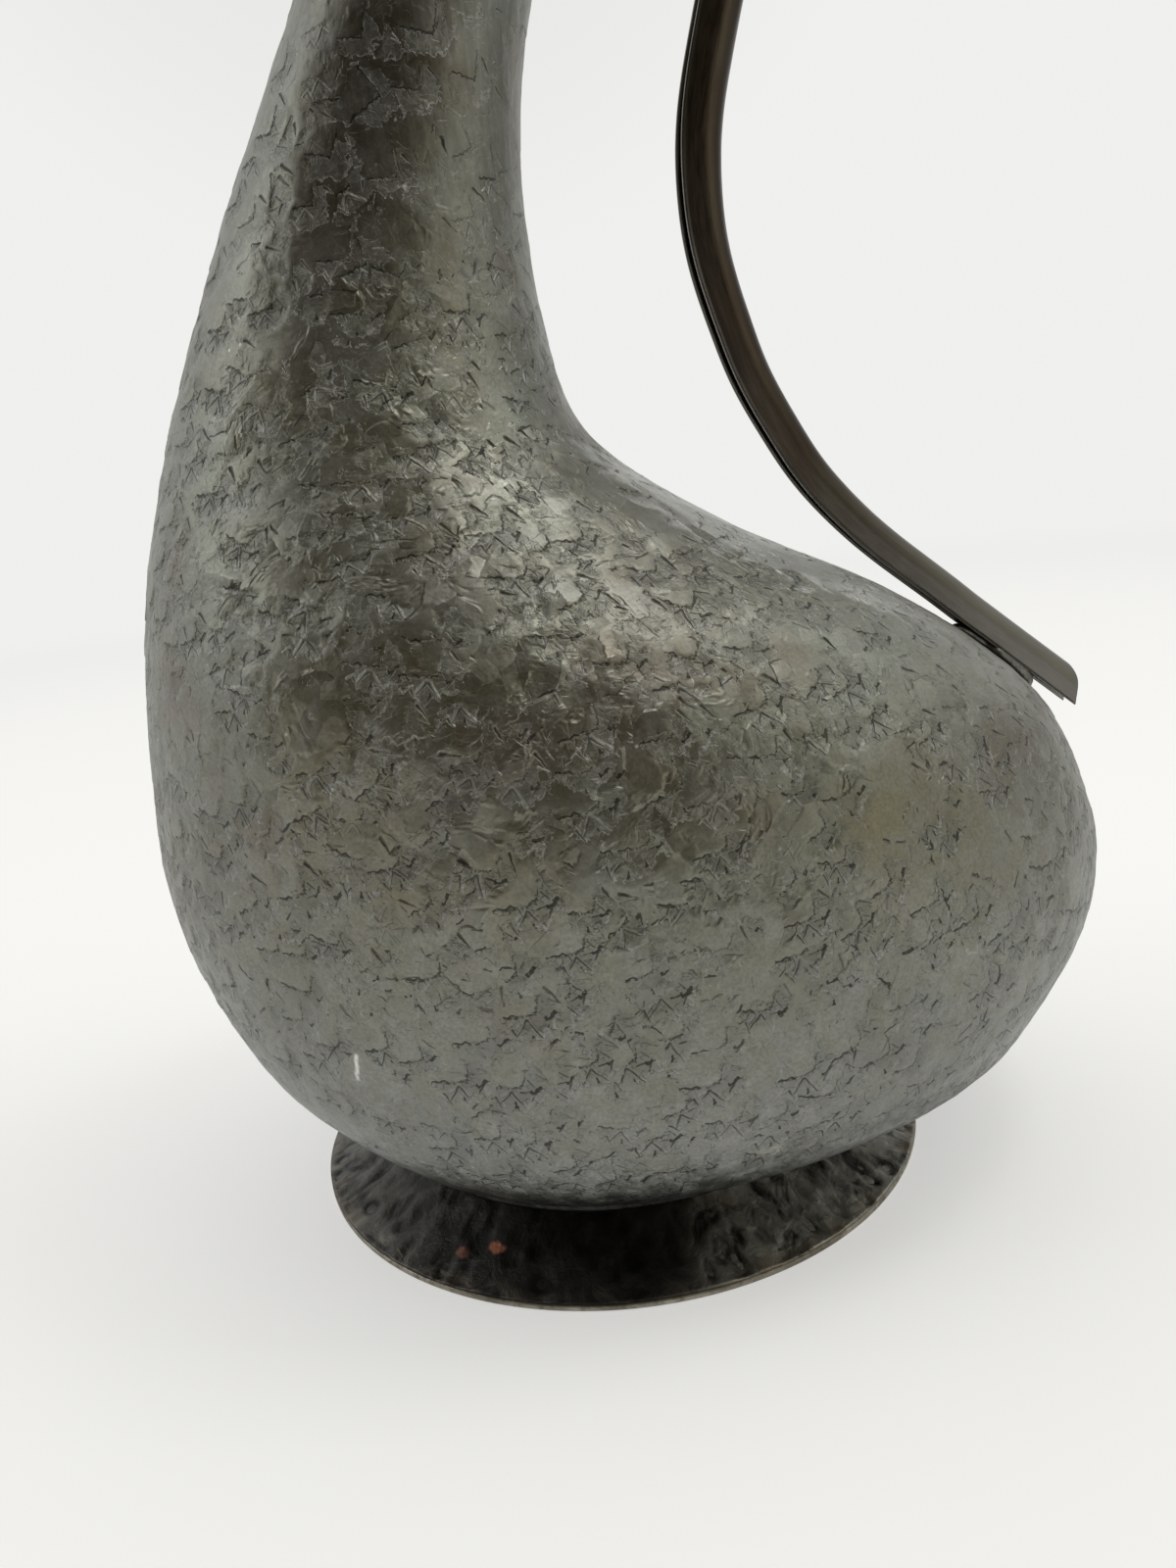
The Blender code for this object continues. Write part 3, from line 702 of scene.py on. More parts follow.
def plain_copper(name, brown, grey, rough, grain_size, mark_depth):
    """A smoother patina for pieces that the hammer finished lightly."""
    material, shader, add, wire = new_finish(name)
    place = add("TexCoord", [], out="Object")
    clouds = grain(add, place, grain_size, 4.0, 0.6, 0.3)
    colour = tinted(add, between(add, clouds, 0.35, 0.68), brown, grey)
    stains = grain(add, place, grain_size * 6, 3.0)
    colour = tinted(add, between(add, stains, 0.5, 0.8, 0.0, 0.5), colour, DEEP_BLACK)
    wire("Base Color", colour)
    wire("Roughness", between(add, stains, 0.3, 0.7, rough - 0.07, rough + 0.09))
    height = weighed(add, (grain(add, place, 1600.0, 3.0),), (stains, 2.0))
    wire("Normal", add("Bump", {"Strength": 1.0, "Distance": mark_depth, "Height": height}))
    shader.inputs["Metallic"].default_value = 1.0
    return material


base.data.materials.append(plain_copper("base_copper", PATINA_BROWN, PATINA_GREY, 0.45, 60.0, 0.00004))
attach(base, "root")
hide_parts("base_disc")

# Foot: a low flared skirt of sheet copper, hammered over a stake into long dents that run down its slope.
# It is blackened nearly all over, greyer and mottled on the tail side, and rubbed through to bare copper.
FOOT_WALL = 0.0014
FOOT_TOP_RADIUS = 0.0470
FOOT_RIM_RADIUS = (FOOT_HIGH.x - FOOT_LOW.x) / 2
FOOT_SAG = 0.0009
FLARE_RINGS = 34
FOOT_SIDES = 560
DENT_COUNT = 420
foot_shares = np.linspace(0, 1, FLARE_RINGS)
foot_sag = FOOT_SAG * np.sin(math.pi * foot_shares)
flare_out = np.stack([FOOT_TOP_RADIUS + (FOOT_RIM_RADIUS - FOOT_TOP_RADIUS) * foot_shares,
                      FOOT_HIGH.z + (FOOT_LOW.z - FOOT_HIGH.z) * foot_shares - foot_sag], axis=1)
under_top = FOOT_HIGH.z - FOOT_WALL
flare_under = under_top + (FOOT_LOW.z - under_top) * foot_shares - foot_sag * (1 - foot_shares)
flare_in = np.stack([flare_out[:, 0] - FOOT_WALL, flare_under], axis=1)
foot_outline = np.concatenate([flare_in, flare_out[::-1]])
foot_points = turned(foot_outline, FOOT_SIDES)
foot_angles = np.tile(full_turn(FOOT_SIDES), len(foot_outline))
foot_draws = np.random.default_rng(21)
foot_relief = np.zeros(len(foot_points))
foot_radius = np.hypot(foot_points[:, 0] - FOOT_AXIS_X, foot_points[:, 1])
for dent in range(DENT_COUNT):
    angle, middle = foot_draws.random() * math.tau, foot_draws.uniform(0.048, 0.067)
    wide, long = foot_draws.uniform(0.0012, 0.0026), foot_draws.uniform(0.0020, 0.0048)
    turn = (foot_angles - angle + math.pi) % math.tau - math.pi
    gap = (turn * foot_radius / wide) ** 2 + ((foot_radius - middle) / long) ** 2
    foot_relief = np.minimum(foot_relief, -foot_draws.uniform(0.22, 0.58) * MM * (1 - gap))
on_top = np.repeat(np.arange(len(foot_outline)) >= FLARE_RINGS, FOOT_SIDES)
rim_calm = rises(FOOT_RIM_RADIUS - foot_radius, 0.0, 0.0015)
foot_relief = np.where(on_top, foot_relief * (0.35 + 0.65 * rim_calm), 0.0)
foot_points[:, 2] += foot_relief
foot_faces, foot_places = ring_faces([FOOT_SIDES] * len(foot_outline))
foot = add_piece("foot_skirt", foot_points, foot_faces)
give_values(foot.data, "relief", "FLOAT", "POINT", foot_relief / MM)
map_rings(foot.data, foot_places, len(foot_outline))

FOOT_BLACK = (0.030, 0.029, 0.028, 1.0)
FOOT_GREY = (0.300, 0.298, 0.268, 1.0)
FOOT_PALE = (0.520, 0.512, 0.455, 1.0)
FOOT_TAN = (0.240, 0.200, 0.150, 1.0)
BARE_COPPER = (0.560, 0.230, 0.150, 1.0)
blackened, shader, add, wire = new_finish("blackened_copper")
place = add("TexCoord", [], out="Object")
relief = add("Attribute", [], out="Fac", attribute_name="relief")
from_axis = vector(add, "SUBTRACT", place, (FOOT_AXIS_X, 0.0, 0.0))
from_axis = vector(add, "MULTIPLY", from_axis, (1.0, 1.0, 0.0))
outwards = vector(add, "LENGTH", from_axis)
round_foot = vector(add, "MULTIPLY", vector(add, "NORMALIZE", from_axis), (0.060, 0.060, 0.0))
down_slope = add("CombineXYZ", [0.0, 0.0, times(add, outwards, 0.95)])
slope_place = vector(add, "ADD", round_foot, down_slope)
tailwards = parts(add, "XYZ", from_axis)[0]
blotches = grain(add, place, 75.0, 5.0, 0.65, 0.6)
streaks = grain(add, slope_place, 170.0, 4.0, 0.66, 0.9)
fine_streaks = grain(add, slope_place, 480.0, 3.0, 0.62, 0.5)
grey_side = sums(add, "MAXIMUM", between(add, tailwards, -0.002, 0.020),
                 between(add, tailwards, -0.060, -0.026, 0.24, 0.0))
grey_share = between(add, grey_side, 0.0, 1.0, 0.04, 1.0)
mottle = times(add, between(add, streaks, 0.36, 0.58), grey_share)
colour = tinted(add, mottle, FOOT_BLACK, FOOT_GREY)
crest = between(add, relief, -0.30, -0.02)
colour = tinted(add, times(add, crest, grey_share, 0.58), colour, FOOT_PALE)
dark_streaks = times(add, between(add, fine_streaks, 0.52, 0.68), grey_share, 0.5)
colour = tinted(add, dark_streaks, colour, FOOT_BLACK)
tan_spots = times(add, between(add, blotches, 0.58, 0.70), grey_share, 0.55)
colour = tinted(add, tan_spots, colour, FOOT_TAN)
edge_rub = times(add, between(add, outwards, 0.0605, 0.0642), between(add, streaks, 0.40, 0.60),
                 between(add, grey_side, 0.0, 1.0, 0.25, 0.8))
colour = tinted(add, edge_rub, colour, FOOT_TAN)
WORN_SPOTS = (
    # place from the foot's middle, half length, share
    ((-0.0287, -0.0484, 0.0051), 0.0012, 0.95),
    ((-0.0351, -0.0470, 0.0040), 0.0012, 0.30),
)
WORN_STRETCH = (0.62, 0.62, 1.5)
worn_place = vector(add, "ADD", place, shaken(add, place, 420.0, 3.0, 1.6 * MM))
for spot, size, share in WORN_SPOTS:
    gap = vector(add, "SUBTRACT", worn_place, Vector(spot) + Vector((FOOT_AXIS_X, 0, 0)))
    gap = vector(add, "LENGTH", vector(add, "MULTIPLY", gap, WORN_STRETCH))
    colour = tinted(add, between(add, gap, 0.55 * size, 1.1 * size, share, 0.0), colour, BARE_COPPER)
wire("Base Color", colour)
wire("Roughness", between(add, blotches, 0.3, 0.7, 0.40, 0.62))
height = weighed(add, (grain(add, place, 700.0, 4.0, 0.7),), (streaks, 3.0), (fine_streaks,))
wire("Normal", add("Bump", {"Strength": 1.0, "Distance": 0.0001, "Height": height}))
shader.inputs["Metallic"].default_value = 1.0
foot.data.materials.append(blackened)
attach(foot, "root")
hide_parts("foot_ring")

# Hem: the edge of the foot turned under into a thin flat ring that the ewer stands on.
# Handling has rubbed it paler and browner than the skirt above it.
HEM_LOW, HEM_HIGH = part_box("foot_hem")
HEM_RADIUS = (HEM_HIGH.x - HEM_LOW.x) / 2
HEM_WIDTH = 0.0026
HEM_ROUND = 0.0005
HEM_SIDES = 480
hem_inner = HEM_RADIUS - HEM_WIDTH + HEM_ROUND
hem_outer = HEM_RADIUS - HEM_ROUND
hem_top = HEM_HIGH.z - HEM_ROUND
hem_corners = (
    # radius, height, angle at which the rounding starts
    (hem_inner, HEM_ROUND, 180),
    (hem_outer, HEM_ROUND, 270),
    (hem_outer, hem_top, 0),
    (hem_inner, hem_top, 90),
)
hem_outline = []
for radius, height, start in hem_corners:
    for turn in (0, 22.5, 45, 67.5, 90):
        angle = math.radians(start + turn)
        hem_outline.append((radius + HEM_ROUND * math.cos(angle), height + HEM_ROUND * math.sin(angle)))
hem_faces, _ = ring_faces([HEM_SIDES] * len(hem_outline))
hem = add_piece("foot_edge_hem", turned(hem_outline, HEM_SIDES), hem_faces)
HEM_BROWN = (0.190, 0.170, 0.136, 1.0)
HEM_PALE = (0.370, 0.345, 0.290, 1.0)
hem.data.materials.append(plain_copper("foot_edge", HEM_BROWN, HEM_PALE, 0.46, 130.0, 0.00005))
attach(hem, "root")
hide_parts("foot_hem")

# Foot joint: the run of soft solder that fills the corner between belly and foot.
# It is wiped into a hollow fillet and has gone nearly as dark as the foot.
JOINT_LOW, JOINT_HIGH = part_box("foot_solder")
JOINT_RADIUS = (JOINT_HIGH.x - JOINT_LOW.x) / 2
JOINT_WIDTH = 0.0016
JOINT_RISE = JOINT_HIGH.z - JOINT_LOW.z
JOINT_CLEAR = 0.05 * MM
joint_outline = [
    (JOINT_RADIUS - JOINT_WIDTH, JOINT_LOW.z + 0.6 * JOINT_RISE),
    (JOINT_RADIUS - 0.2 * JOINT_WIDTH, JOINT_LOW.z + JOINT_CLEAR),
    (JOINT_RADIUS - 0.1 * JOINT_WIDTH, JOINT_LOW.z + 0.25 * JOINT_RISE),
    (JOINT_RADIUS - 0.25 * JOINT_WIDTH, JOINT_LOW.z + 0.55 * JOINT_RISE),
    (JOINT_RADIUS - 0.02 * JOINT_WIDTH, JOINT_HIGH.z - JOINT_CLEAR),
]
joint_faces, _ = ring_faces([TURN_SIDES] * len(joint_outline))
foot_joint = add_piece("foot_joint", turned(joint_outline, TURN_SIDES), joint_faces)
JOINT_DARK = (0.030, 0.029, 0.027, 1.0)
JOINT_GREY = (0.090, 0.090, 0.085, 1.0)
foot_joint.data.materials.append(plain_copper("dark_solder", JOINT_DARK, JOINT_GREY, 0.5, 150.0, 0.00008))
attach(foot_joint, "root")
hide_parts("foot_solder")

# Rim wire: a round copper wire laid along the mouth's cut edge, so that the thin sheet stays stiff.
# It is soldered on and lightly hammered, and pouring has kept it a little brighter than the body.
WIRE_RADIUS = 0.0014
WIRE_LIFT = WIRE_RADIUS - 0.0003
WIRE_SIDES = 14
WIRE_POINTS = 320
WIRE_DENT = 0.03
WIRE_DENTS = 23
wire_angles = full_turn(WIRE_POINTS)
top_position = np.full(WIRE_POINTS, len(BODY_SECTIONS) - 1.0)
rim_edge, rim_across, rim_out = skin_frame(top_position, wire_angles)
rim_up = np.cross(rim_out, rim_across)
wire_middle = rim_edge + rim_up * WIRE_LIFT - rim_out * BODY_WALL / 2
wire_points = np.concatenate([
    wire_middle + (rim_out * math.cos(turn) + rim_up * math.sin(turn)) * WIRE_RADIUS
    * (1 + WIRE_DENT * np.sin(WIRE_DENTS * wire_angles + turn))[:, None]
    for turn in full_turn(WIRE_SIDES)])
wire_faces, _ = ring_faces([WIRE_POINTS] * WIRE_SIDES)
rim = add_piece("mouth_rim_wire", wire_points, wire_faces)
rim.data.materials.append(plain_copper("rim_copper", PATINA_BROWN, PATINA_GREY, 0.38, 90.0, 0.00004))
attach(rim, "root")
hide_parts("rim_wire")

# Handle: a strip of copper drawn into a deep half-round channel, open towards the body, and bent in one sweep
# from the tail up beside the neck and over to its back. It is smooth, with streaks along it from drawing and
# hand wear, slimmer at the tail, where its free end is cut upright and its corners are filed round.
HANDLE_WIDTH = 0.0088
HANDLE_DEPTH = 0.0084
HANDLE_WALL = 0.0012
HANDLE_EDGE_INSET = 0.0005
HANDLE_EDGE_HEIGHT = 0.0040
HANDLE_TAIL_SCALE = 0.78
HANDLE_FULL_HEIGHT = 0.2000
HANDLE_END_CUT = math.radians(35)
SEAT_LIFT = 0.0016
TAIL_SEAT_HEIGHT = 0.0860
TAIL_LAP = 0.0160
TAIL_OVERHANG = 0.0260
NECK_SEAT_HEIGHT = MOUTH_HEIGHT - 0.0160
NECK_LAP = 0.0120
RISE_POINTS = ((0.1170, 0.0197), (0.1330, 0.0317), (0.1500, 0.0323), (0.1780, 0.0295),
               (0.2090, 0.0305), (0.2330, 0.0350), (0.2500, 0.0395))
LOOP_POINTS = ((0.0425, 0.0040), (0.0390, 0.0145), (0.0295, 0.0205), (0.0190, 0.0150), (0.0090, 0.0030),
               (-0.0020, -0.0080))
STRIP_STEP = 0.0006
ARCH_STEPS = 26
LEG_STEPS = 7
BEND_STEPS = 48
EDGE_ROUND = 0.35 * MM
BACK_SAMPLES = 6000
BACK_STEP = 0.0005


def back_of_body(height):
    """Along Y = 0: the back of the body at one height, the way up along it and the way straight out."""
    fine = np.linspace(0, len(BODY_SECTIONS) - 1, BACK_SAMPLES)
    heights = smooth_through(BODY_SECTIONS, fine)[:, 0]
    position = np.interp([height - BACK_STEP, height, height + BACK_STEP], heights, fine)
    lower, point, upper = body_skin(position, np.zeros(3))
    along = Vector(upper - lower).normalized()
    return Vector(point), along, Vector((along.z, 0.0, -along.x))


tail_point, tail_along, tail_out = back_of_body(TAIL_SEAT_HEIGHT)
touch = tail_point + tail_out * SEAT_LIFT
route = [touch - tail_along * TAIL_OVERHANG, touch, touch + tail_along * TAIL_LAP / 2]
for height, gap in RISE_POINTS:
    route.append(back_of_body(height)[0] + Vector((gap, 0.0, 0.0)))
neck_point, _, neck_out = back_of_body(NECK_SEAT_HEIGHT)
for away, above in LOOP_POINTS:
    route.append(neck_point + Vector((away, 0.0, above)))
bend = bpy.data.curves.new("handle_bend", "CURVE")
bend.dimensions = "3D"
bend.resolution_u = BEND_STEPS
bend_line = bend.splines.new("BEZIER")
bend_line.bezier_points.add(len(route) - 1)
for knot, point in zip(bend_line.bezier_points, route):
    knot.co = point
    knot.handle_left_type = "AUTO"
    knot.handle_right_type = "AUTO"
bend_guide = bpy.data.objects.new("handle_bend", bend)
bpy.context.scene.collection.objects.link(bend_guide)
bpy.context.view_layer.update()
bend_shape = bend_guide.evaluated_get(bpy.context.evaluated_depsgraph_get())
bend_points = np.array([vertex.co for vertex in bend_shape.to_mesh().vertices])
bend_shape.to_mesh_clear()
bpy.data.objects.remove(bend_guide, do_unlink=True)
bend_run = np.concatenate([[0], np.cumsum(np.linalg.norm(np.diff(bend_points, axis=0), axis=1))])
strip_length = bend_run[-1]


def bend_at(run):
    """Points of the handle's line at lengths along it, with the way out."""
    small = 0.0004
    before, here, after = (
        np.stack([np.interp(run + shift, bend_run, bend_points[:, k]) for k in range(3)], -1)
        for shift in (-small, 0, small))
    along = after - before
    along /= np.linalg.norm(along, axis=-1, keepdims=True)
    return here, np.stack([along[..., 2], 0 * along[..., 0], -along[..., 0]], -1)


def channel_side(inset):
    """Half-round outline of the strip's outer or inner face as (across, out), from one edge to the other."""
    half = HANDLE_WIDTH / 2
    legs = np.linspace(EDGE_ROUND, HANDLE_EDGE_HEIGHT, LEG_STEPS)[:-1]
    lean = HANDLE_EDGE_INSET * (1 - legs / HANDLE_EDGE_HEIGHT)
    turns = np.linspace(-math.pi / 2, math.pi / 2, ARCH_STEPS)
    arch = np.stack([(half - inset) * np.sin(turns),
                     HANDLE_EDGE_HEIGHT + (HANDLE_DEPTH - HANDLE_EDGE_HEIGHT - inset) * np.cos(turns)], 1)
    left = np.stack([lean + inset - half, legs], 1)
    return np.concatenate([left, arch, left[::-1] * (-1, 1)])


channel_out = channel_side(0.0)
channel_in = channel_side(HANDLE_WALL)
edge_middle = (channel_out[0] + channel_in[0]) / 2
edge_round = np.linspace(0, math.pi, LEG_STEPS)[1:-1]
half_wall = abs(channel_out[0, 0] - channel_in[0, 0]) / 2
right_edge = np.stack([-edge_middle[0] + half_wall * np.cos(edge_round),
                       edge_middle[1] - EDGE_ROUND * np.sin(edge_round)], 1)
channel = np.concatenate([channel_out, right_edge, channel_in[::-1], right_edge * (-1, 1)])
channel = np.roll(channel, 2, axis=0)
strip_runs = np.linspace(0, strip_length, round(strip_length / STRIP_STEP) + 1)


def strip_points(runs, section):
    """Places of the channel's section points at lengths along the handle, one length for each point."""
    points, out = bend_at(runs)
    height = points[..., 2] - SEAT_Z
    full = np.clip((height - TAIL_SEAT_HEIGHT) / (HANDLE_FULL_HEIGHT - TAIL_SEAT_HEIGHT), 0, 1)
    scale = (HANDLE_TAIL_SCALE + (1 - HANDLE_TAIL_SCALE) * full)[..., None]
    sideways = np.zeros(points.shape)
    sideways[..., 1] = section[..., 0]
    return points + (sideways + out * section[..., 1:]) * scale


# every line of the section starts on the upright cut at the tail and ends on the back of the neck
END_ROUND = 0.0016
CORNER_FROM = 0.62
END_REACH = 0.022
PROBE_REACH = 0.030
PROBE_STEPS = 240
cut_start = channel[:, 1] * HANDLE_TAIL_SCALE * math.tan(HANDLE_END_CUT)
corner = np.clip(channel[:, 1] / HANDLE_DEPTH - CORNER_FROM, 0, 1) / (1 - CORNER_FROM)
cut_start = cut_start + END_ROUND * corner**2.2
probe = np.linspace(strip_length - PROBE_REACH, strip_length, PROBE_STEPS)
probe_grid = strip_points(np.repeat(probe[:, None], len(channel), 1), np.repeat(channel[None], len(probe), 0))
neck_plane = np.array(neck_point + neck_out * SEAT_LIFT)
past_plane = (probe_grid - neck_plane) @ np.array(neck_out) < 0
reached = np.where(past_plane.any(axis=0), past_plane.argmax(axis=0), len(probe) - 1)
cut_end = strip_length - probe[reached]
near_start = np.clip(1 - strip_runs / END_REACH, 0, 1)[:, None]
near_end = np.clip(1 - (strip_length - strip_runs) / END_REACH, 0, 1)[:, None]
run_grid = strip_runs[:, None] + cut_start * near_start - cut_end * near_end
handle_points = strip_points(run_grid, np.repeat(channel[None], len(strip_runs), 0))
ring_size = len(channel)
handle_faces = ring_faces([ring_size] * len(strip_runs))[0][:-ring_size]
last_start = ring_size * (len(strip_runs) - 1)
for start, flip in ((0, True), (last_start, False)):
    for n in range(ring_size // 2 - 1):
        corners = [start + n, start + n + 1, start + ring_size - 2 - n, start + ring_size - 1 - n]
        handle_faces.append(corners[::-1] if flip else corners)
handle = add_piece("channel_handle", handle_points.reshape(-1, 3), handle_faces)
edge_gaps = np.repeat(channel[None, :, 1], len(strip_runs), 0)
along_strip = np.stack([run_grid / MM, 0 * run_grid, edge_gaps / MM], -1)
give_values(handle.data, "along_strip", "FLOAT_VECTOR", "POINT", along_strip)

HANDLE_BROWN = (0.056, 0.042, 0.032, 1.0)
HANDLE_OLIVE = (0.064, 0.056, 0.042, 1.0)
HANDLE_DARK = (0.034, 0.026, 0.020, 1.0)
HANDLE_WARM_HIGHLIGHT = (0.074, 0.057, 0.042, 1.0)
HANDLE_GREY = (0.228, 0.226, 0.202, 1.0)
HANDLE_EDGE_WEAR_AND_HIGHLIGHT = (0.300, 0.290, 0.260, 1.0)
strip_copper, shader, add, wire = new_finish("handle_copper")
place = add("TexCoord", [], out="Object")
strip_place = add("Attribute", [], out="Vector", attribute_name="along_strip")
run_along, _, from_edge = parts(add, "XYZ", strip_place)
side = parts(add, "XYZ", place)[1]
drawn = add("CombineXYZ", [times(add, run_along, 0.045), times(add, from_edge, 0.45),
                           times(add, side, 420.0)])
streaks = grain(add, drawn, 1.0, 4.0, 0.6)
fine_streaks = grain(add, drawn, 4.2, 3.0, 0.6)
clouds = grain(add, place, 55.0, 3.0)
colour = tinted(add, between(add, streaks, 0.34, 0.66), HANDLE_DARK, HANDLE_BROWN)
colour = tinted(add, between(add, clouds, 0.40, 0.70, 0.15, 0.75), colour, HANDLE_OLIVE)
colour = tinted(add, between(add, fine_streaks, 0.52, 0.80, 0.0, 0.45), colour, HANDLE_DARK)
# a warmer, lighter band along the curved sides, away from the tail: a painted highlight
warm_highlight_band = times(add, between(add, from_edge, 1.4, 3.0), between(add, from_edge, 4.8, 6.4, 1.0, 0.0),
              between(add, streaks, 0.30, 0.60, 0.35, 0.85), between(add, run_along, 50.0, 130.0))
colour = tinted(add, warm_highlight_band, colour, HANDLE_WARM_HIGHLIGHT)
# darker towards the crown of the channel: painted shade where its round back turns from the light
colour = tinted(add, between(add, from_edge, 5.4, 7.4, 0.0, 0.55), colour, HANDLE_DARK)
tail_grey = between(add, run_along, 10.0, 85.0, 0.55, 0.0)
colour = tinted(add, tail_grey, colour, HANDLE_GREY)
# paler along the edges: partly wear, partly a painted highlight where the edges catch the light
rubbed_and_lit_edge = between(add, from_edge, 0.20, 0.95, 0.55, 0.0)
colour = tinted(add, rubbed_and_lit_edge, colour, HANDLE_EDGE_WEAR_AND_HIGHLIGHT)
wire("Base Color", colour)
wire("Roughness", between(add, fine_streaks, 0.3, 0.7, 0.26, 0.40))
height = weighed(add, (fine_streaks,), (streaks, 1.5))
wire("Normal", add("Bump", {"Strength": 1.0, "Distance": 0.00003, "Height": height}))
shader.inputs["Metallic"].default_value = 1.0
handle.data.materials.append(strip_copper)
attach(handle, "root")
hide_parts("handle")

# Tail joint: solder run under the handle where it lies along the tail, drawn up between its two edges and the
# body. It is wiped hollow at the sides and rounds in at its lower end, and is dull grey.
FILLET_STEPS = 40
FILLET_SIDES = 28
FILLET_HALF_WIDTH = 0.0034
FILLET_CROWN = 0.0011
FILLET_CLEAR = 0.0002
BACK_ROUND = 0.130
TONGUE_SLIMMER = 0.62
TAIL_SOLDER_LOW, TAIL_SOLDER_HIGH = -0.0172, -0.0028
TAIL_SPREAD, NECK_SPREAD = 0.55, 0.20
TAIL_TONGUE = 0.0090
SOLDER_GREY = (0.150, 0.146, 0.132, 1.0)
SOLDER_PALE = (0.205, 0.202, 0.186, 1.0)


def add_fillet(name, height, low, high, half_width, spread, tongue=0.0):
    """Solder between the back of the body and a handle end, from low to high along the back, and from there
    a slim tongue that runs on inside the channel."""
    point, along, out = (np.array(v) for v in back_of_body(height))
    rings = []
    for share in np.linspace(0, 1, FILLET_STEPS):
        run = low + (high + tongue - low) * share
        slim = 1 - TONGUE_SLIMMER * float(rises(run, high - 2 * MM, high + MM)) if tongue else 1.0
        full = math.sqrt(max(0.0, 1 - abs(2 * share - 1) ** 5))
        lift = SEAT_LIFT + FILLET_CROWN * full
        ground_point, _, ground_out = back_of_body(height + run * along[2])
        ground_point, ground_out = np.array(ground_point), np.array(ground_out)
        top_middle = point + along * run + out * lift
        ring = []
        for n in range(FILLET_SIDES):
            turn = math.tau * n / FILLET_SIDES
            side, rise = math.cos(turn), (1 + math.sin(turn)) / 2
            width = slim * half_width * (0.55 + 0.45 * full) * (1 + spread * (1 - rise) ** 2.5)
            floor = ground_point + ground_out * FILLET_CLEAR
            floor = floor - ground_out * (side * width) ** 2 / BACK_ROUND
            spot = floor * (1 - rise) + (top_middle * full + floor * (1 - full)) * rise
            ring.append(spot + np.array((0.0, side * width, 0.0)))
        rings.append(ring)
    return add_piece(name, np.concatenate(rings), capped_rings(FILLET_SIDES, FILLET_STEPS))


tail_joint = add_fillet("tail_joint", TAIL_SEAT_HEIGHT, TAIL_SOLDER_LOW, TAIL_SOLDER_HIGH, FILLET_HALF_WIDTH,
                        TAIL_SPREAD, TAIL_TONGUE)
solder = plain_copper("solder", SOLDER_GREY, SOLDER_PALE, 0.42, 180.0, 0.00006)
tail_joint.data.materials.append(solder)
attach(tail_joint, "root")
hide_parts("tail_solder")

# Neck joint: the same solder under the handle's upper end, on the back of the neck below the mouth.
# It fills the small gap behind the cut end of the channel.
neck_joint = add_fillet("neck_joint", NECK_SEAT_HEIGHT, -NECK_LAP / 2, NECK_LAP / 2, FILLET_HALF_WIDTH,
                        NECK_SPREAD)
neck_joint.data.materials.append(solder)
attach(neck_joint, "root")
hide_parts("neck_solder")

# Floor and background: a wide white table that runs back without an edge, under plain white light all round.
# Two soft lamps hang high up at the right and at the left, and the room in front of the table is dim.
BACKGROUND = (0.870, 0.868, 0.858, 1.0)
FLOOR_WHITE = (0.960, 0.957, 0.946, 1.0)
FLOOR_GLOW = (1.100, 1.098, 1.087, 1.0)
FLOOR_SIDES = 96
FLOOR_RADII = (0.05, 0.3, 1.0, 4.0, 30.0)
floor_points = [(r * math.cos(a), r * math.sin(a), 0.0) for r in FLOOR_RADII for a in full_turn(FLOOR_SIDES)]
floor_faces, _ = ring_faces([FLOOR_SIDES] * len(FLOOR_RADII))
floor_faces = [face[::-1] for face in floor_faces[:-FLOOR_SIDES]] + [list(range(FLOOR_SIDES))]
floor = add_piece("floor", floor_points, floor_faces)
white, shader, add, wire = new_finish("floor_white")
place = add("TexCoord", [], out="Object")
distance = vector(add, "LENGTH", place)
paper = grain(add, place, 6.0, 2.0)
wire("Base Color", tinted(add, between(add, paper, 0.3, 0.7, 0.0, 0.02), FLOOR_WHITE, BACKGROUND))
shader.inputs["Roughness"].default_value = 0.9
shader.inputs["Specular IOR Level"].default_value = 0.1
# near the object the floor partly glows: painted light that softens its shadow and lights the belly from
# below; far off it fades into the background
glow_colour = tinted(add, between(add, distance, 0.25, 1.3), FLOOR_GLOW, BACKGROUND)
glow = add("Emission", {"Color": glow_colour, "Strength": 1.0})
ground = add("MixShader", [between(add, distance, 0.30, 1.6, 0.44, 1.0), shader.outputs[0], glow])
white.node_tree.links.new(ground, white.node_tree.nodes["Material Output"].inputs["Surface"])
floor.data.materials.append(white)

# the room that the metal mirrors: dim and warm in front, bright high up at both sides, dimmer low at right
ROOM_PATCHES = (
    # azimuth from the camera and elevation in degrees, full within, gone beyond, colour
    (-46, 36, 24, 43, (0.092, 0.076, 0.048, 1.0)),
    (2, 35, 33, 49, (0.086, 0.072, 0.047, 1.0)),
    (-106, 40, 14, 36, (0.960, 0.960, 0.950, 1.0)),
    (140, 34, 6, 14, (0.120, 0.120, 0.114, 1.0)),
    (54, 3, 8, 31, (0.900, 0.895, 0.740, 1.0)),
    (100, 3, 6, 32, (0.460, 0.450, 0.410, 1.0)),
    (94, 54, 14, 40, (1.310, 1.310, 1.220, 1.0)),
    (180, 30, 8, 22, (0.810, 0.808, 0.796, 1.0)),
)
world = bpy.data.worlds.new("studio")
world.use_nodes = True
add = node_adder(world.node_tree)
looking = add("TexCoord", [], out="Generated")
colour = BACKGROUND
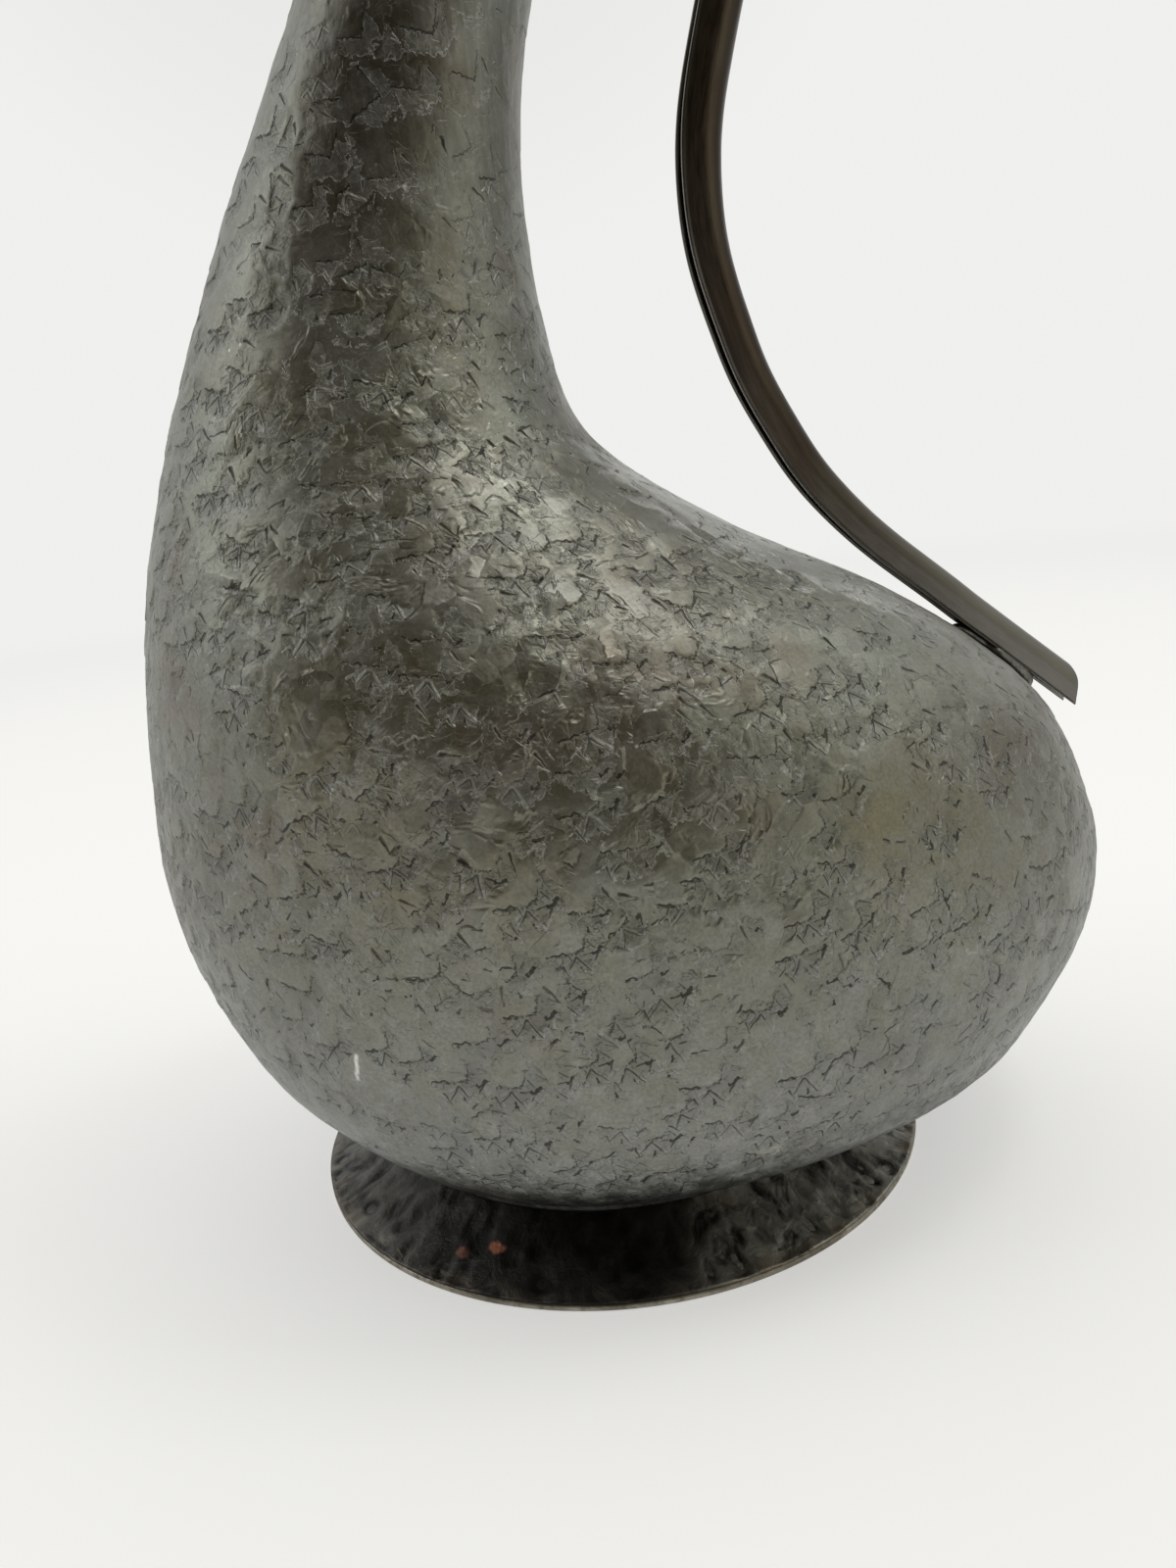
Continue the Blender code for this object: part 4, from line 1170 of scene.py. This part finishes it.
for azimuth, elevation, full, gone, patch_colour in ROOM_PATCHES:
    azimuth, elevation = math.radians(azimuth), math.radians(elevation)
    level = math.cos(elevation)
    patch_way = (math.sin(azimuth) * level, -math.cos(azimuth) * level, math.sin(elevation))
    nearness = vector(add, "DOT_PRODUCT", looking, patch_way)
    share = between(add, nearness, math.cos(math.radians(gone)), math.cos(math.radians(full)))
    colour = tinted(add, share, colour, patch_colour)
world.node_tree.links.new(colour, world.node_tree.nodes["Background"].inputs["Color"])
bpy.context.scene.world = world

LAMP_AIM = Vector((0.0, 0.0, 0.10))
LAMPS = (
    # name, place, width and depth, watts
    ("overhead_lamp", (0.38, -0.06, 1.00), 0.26, 0.20, 1.2),
    ("left_lamp", (-0.90, 0.02, 0.72), 0.55, 0.45, 0.9),
)
for name, spot, width, depth, watts in LAMPS:
    lamp = bpy.data.lights.new(name, "AREA")
    lamp.shape = "RECTANGLE"
    lamp.size = width
    lamp.size_y = depth
    lamp.energy = watts
    lamp_stand = bpy.data.objects.new(name, lamp)
    lamp_stand.location = spot
    aim = LAMP_AIM - Vector(spot)
    lamp_stand.rotation_euler = aim.to_track_quat("-Z", "Y").to_euler()
    bpy.context.scene.collection.objects.link(lamp_stand)

# Camera: close in front of the table, looking a little down and tilted a little to one side.
# Its place is measured from the foot's middle.
IMAGE_LONG_SIDE = 1600
FOCAL_PIXELS = 1204
LOOK_YAW, LOOK_DOWN, LOOK_ROLL = math.radians(4.0), math.radians(14.93), math.radians(-6.32)
CAMERA_PLACE = Vector((FOOT_AXIS_X - 0.01577, -0.23988, 0.14220))
forward = Vector((math.sin(LOOK_YAW) * math.cos(LOOK_DOWN), math.cos(LOOK_YAW) * math.cos(LOOK_DOWN),
                  -math.sin(LOOK_DOWN)))
level_right = Vector((math.cos(LOOK_YAW), -math.sin(LOOK_YAW), 0.0))
level_up = level_right.cross(forward)
right = level_right * math.cos(LOOK_ROLL) + level_up * math.sin(LOOK_ROLL)
up = level_up * math.cos(LOOK_ROLL) - level_right * math.sin(LOOK_ROLL)
lens = bpy.data.cameras.new("camera")
lens.sensor_width = 36.0
lens.lens = FOCAL_PIXELS * lens.sensor_width / IMAGE_LONG_SIDE
lens.clip_start = 0.01
camera = bpy.data.objects.new("camera", lens)
camera.matrix_world = Matrix((
    (right.x, up.x, -forward.x, CAMERA_PLACE.x),
    (right.y, up.y, -forward.y, CAMERA_PLACE.y),
    (right.z, up.z, -forward.z, CAMERA_PLACE.z),
    (0.0, 0.0, 0.0, 1.0),
))
bpy.context.scene.collection.objects.link(camera)
bpy.context.scene.camera = camera
bpy.context.scene.view_settings.view_transform = "Standard"
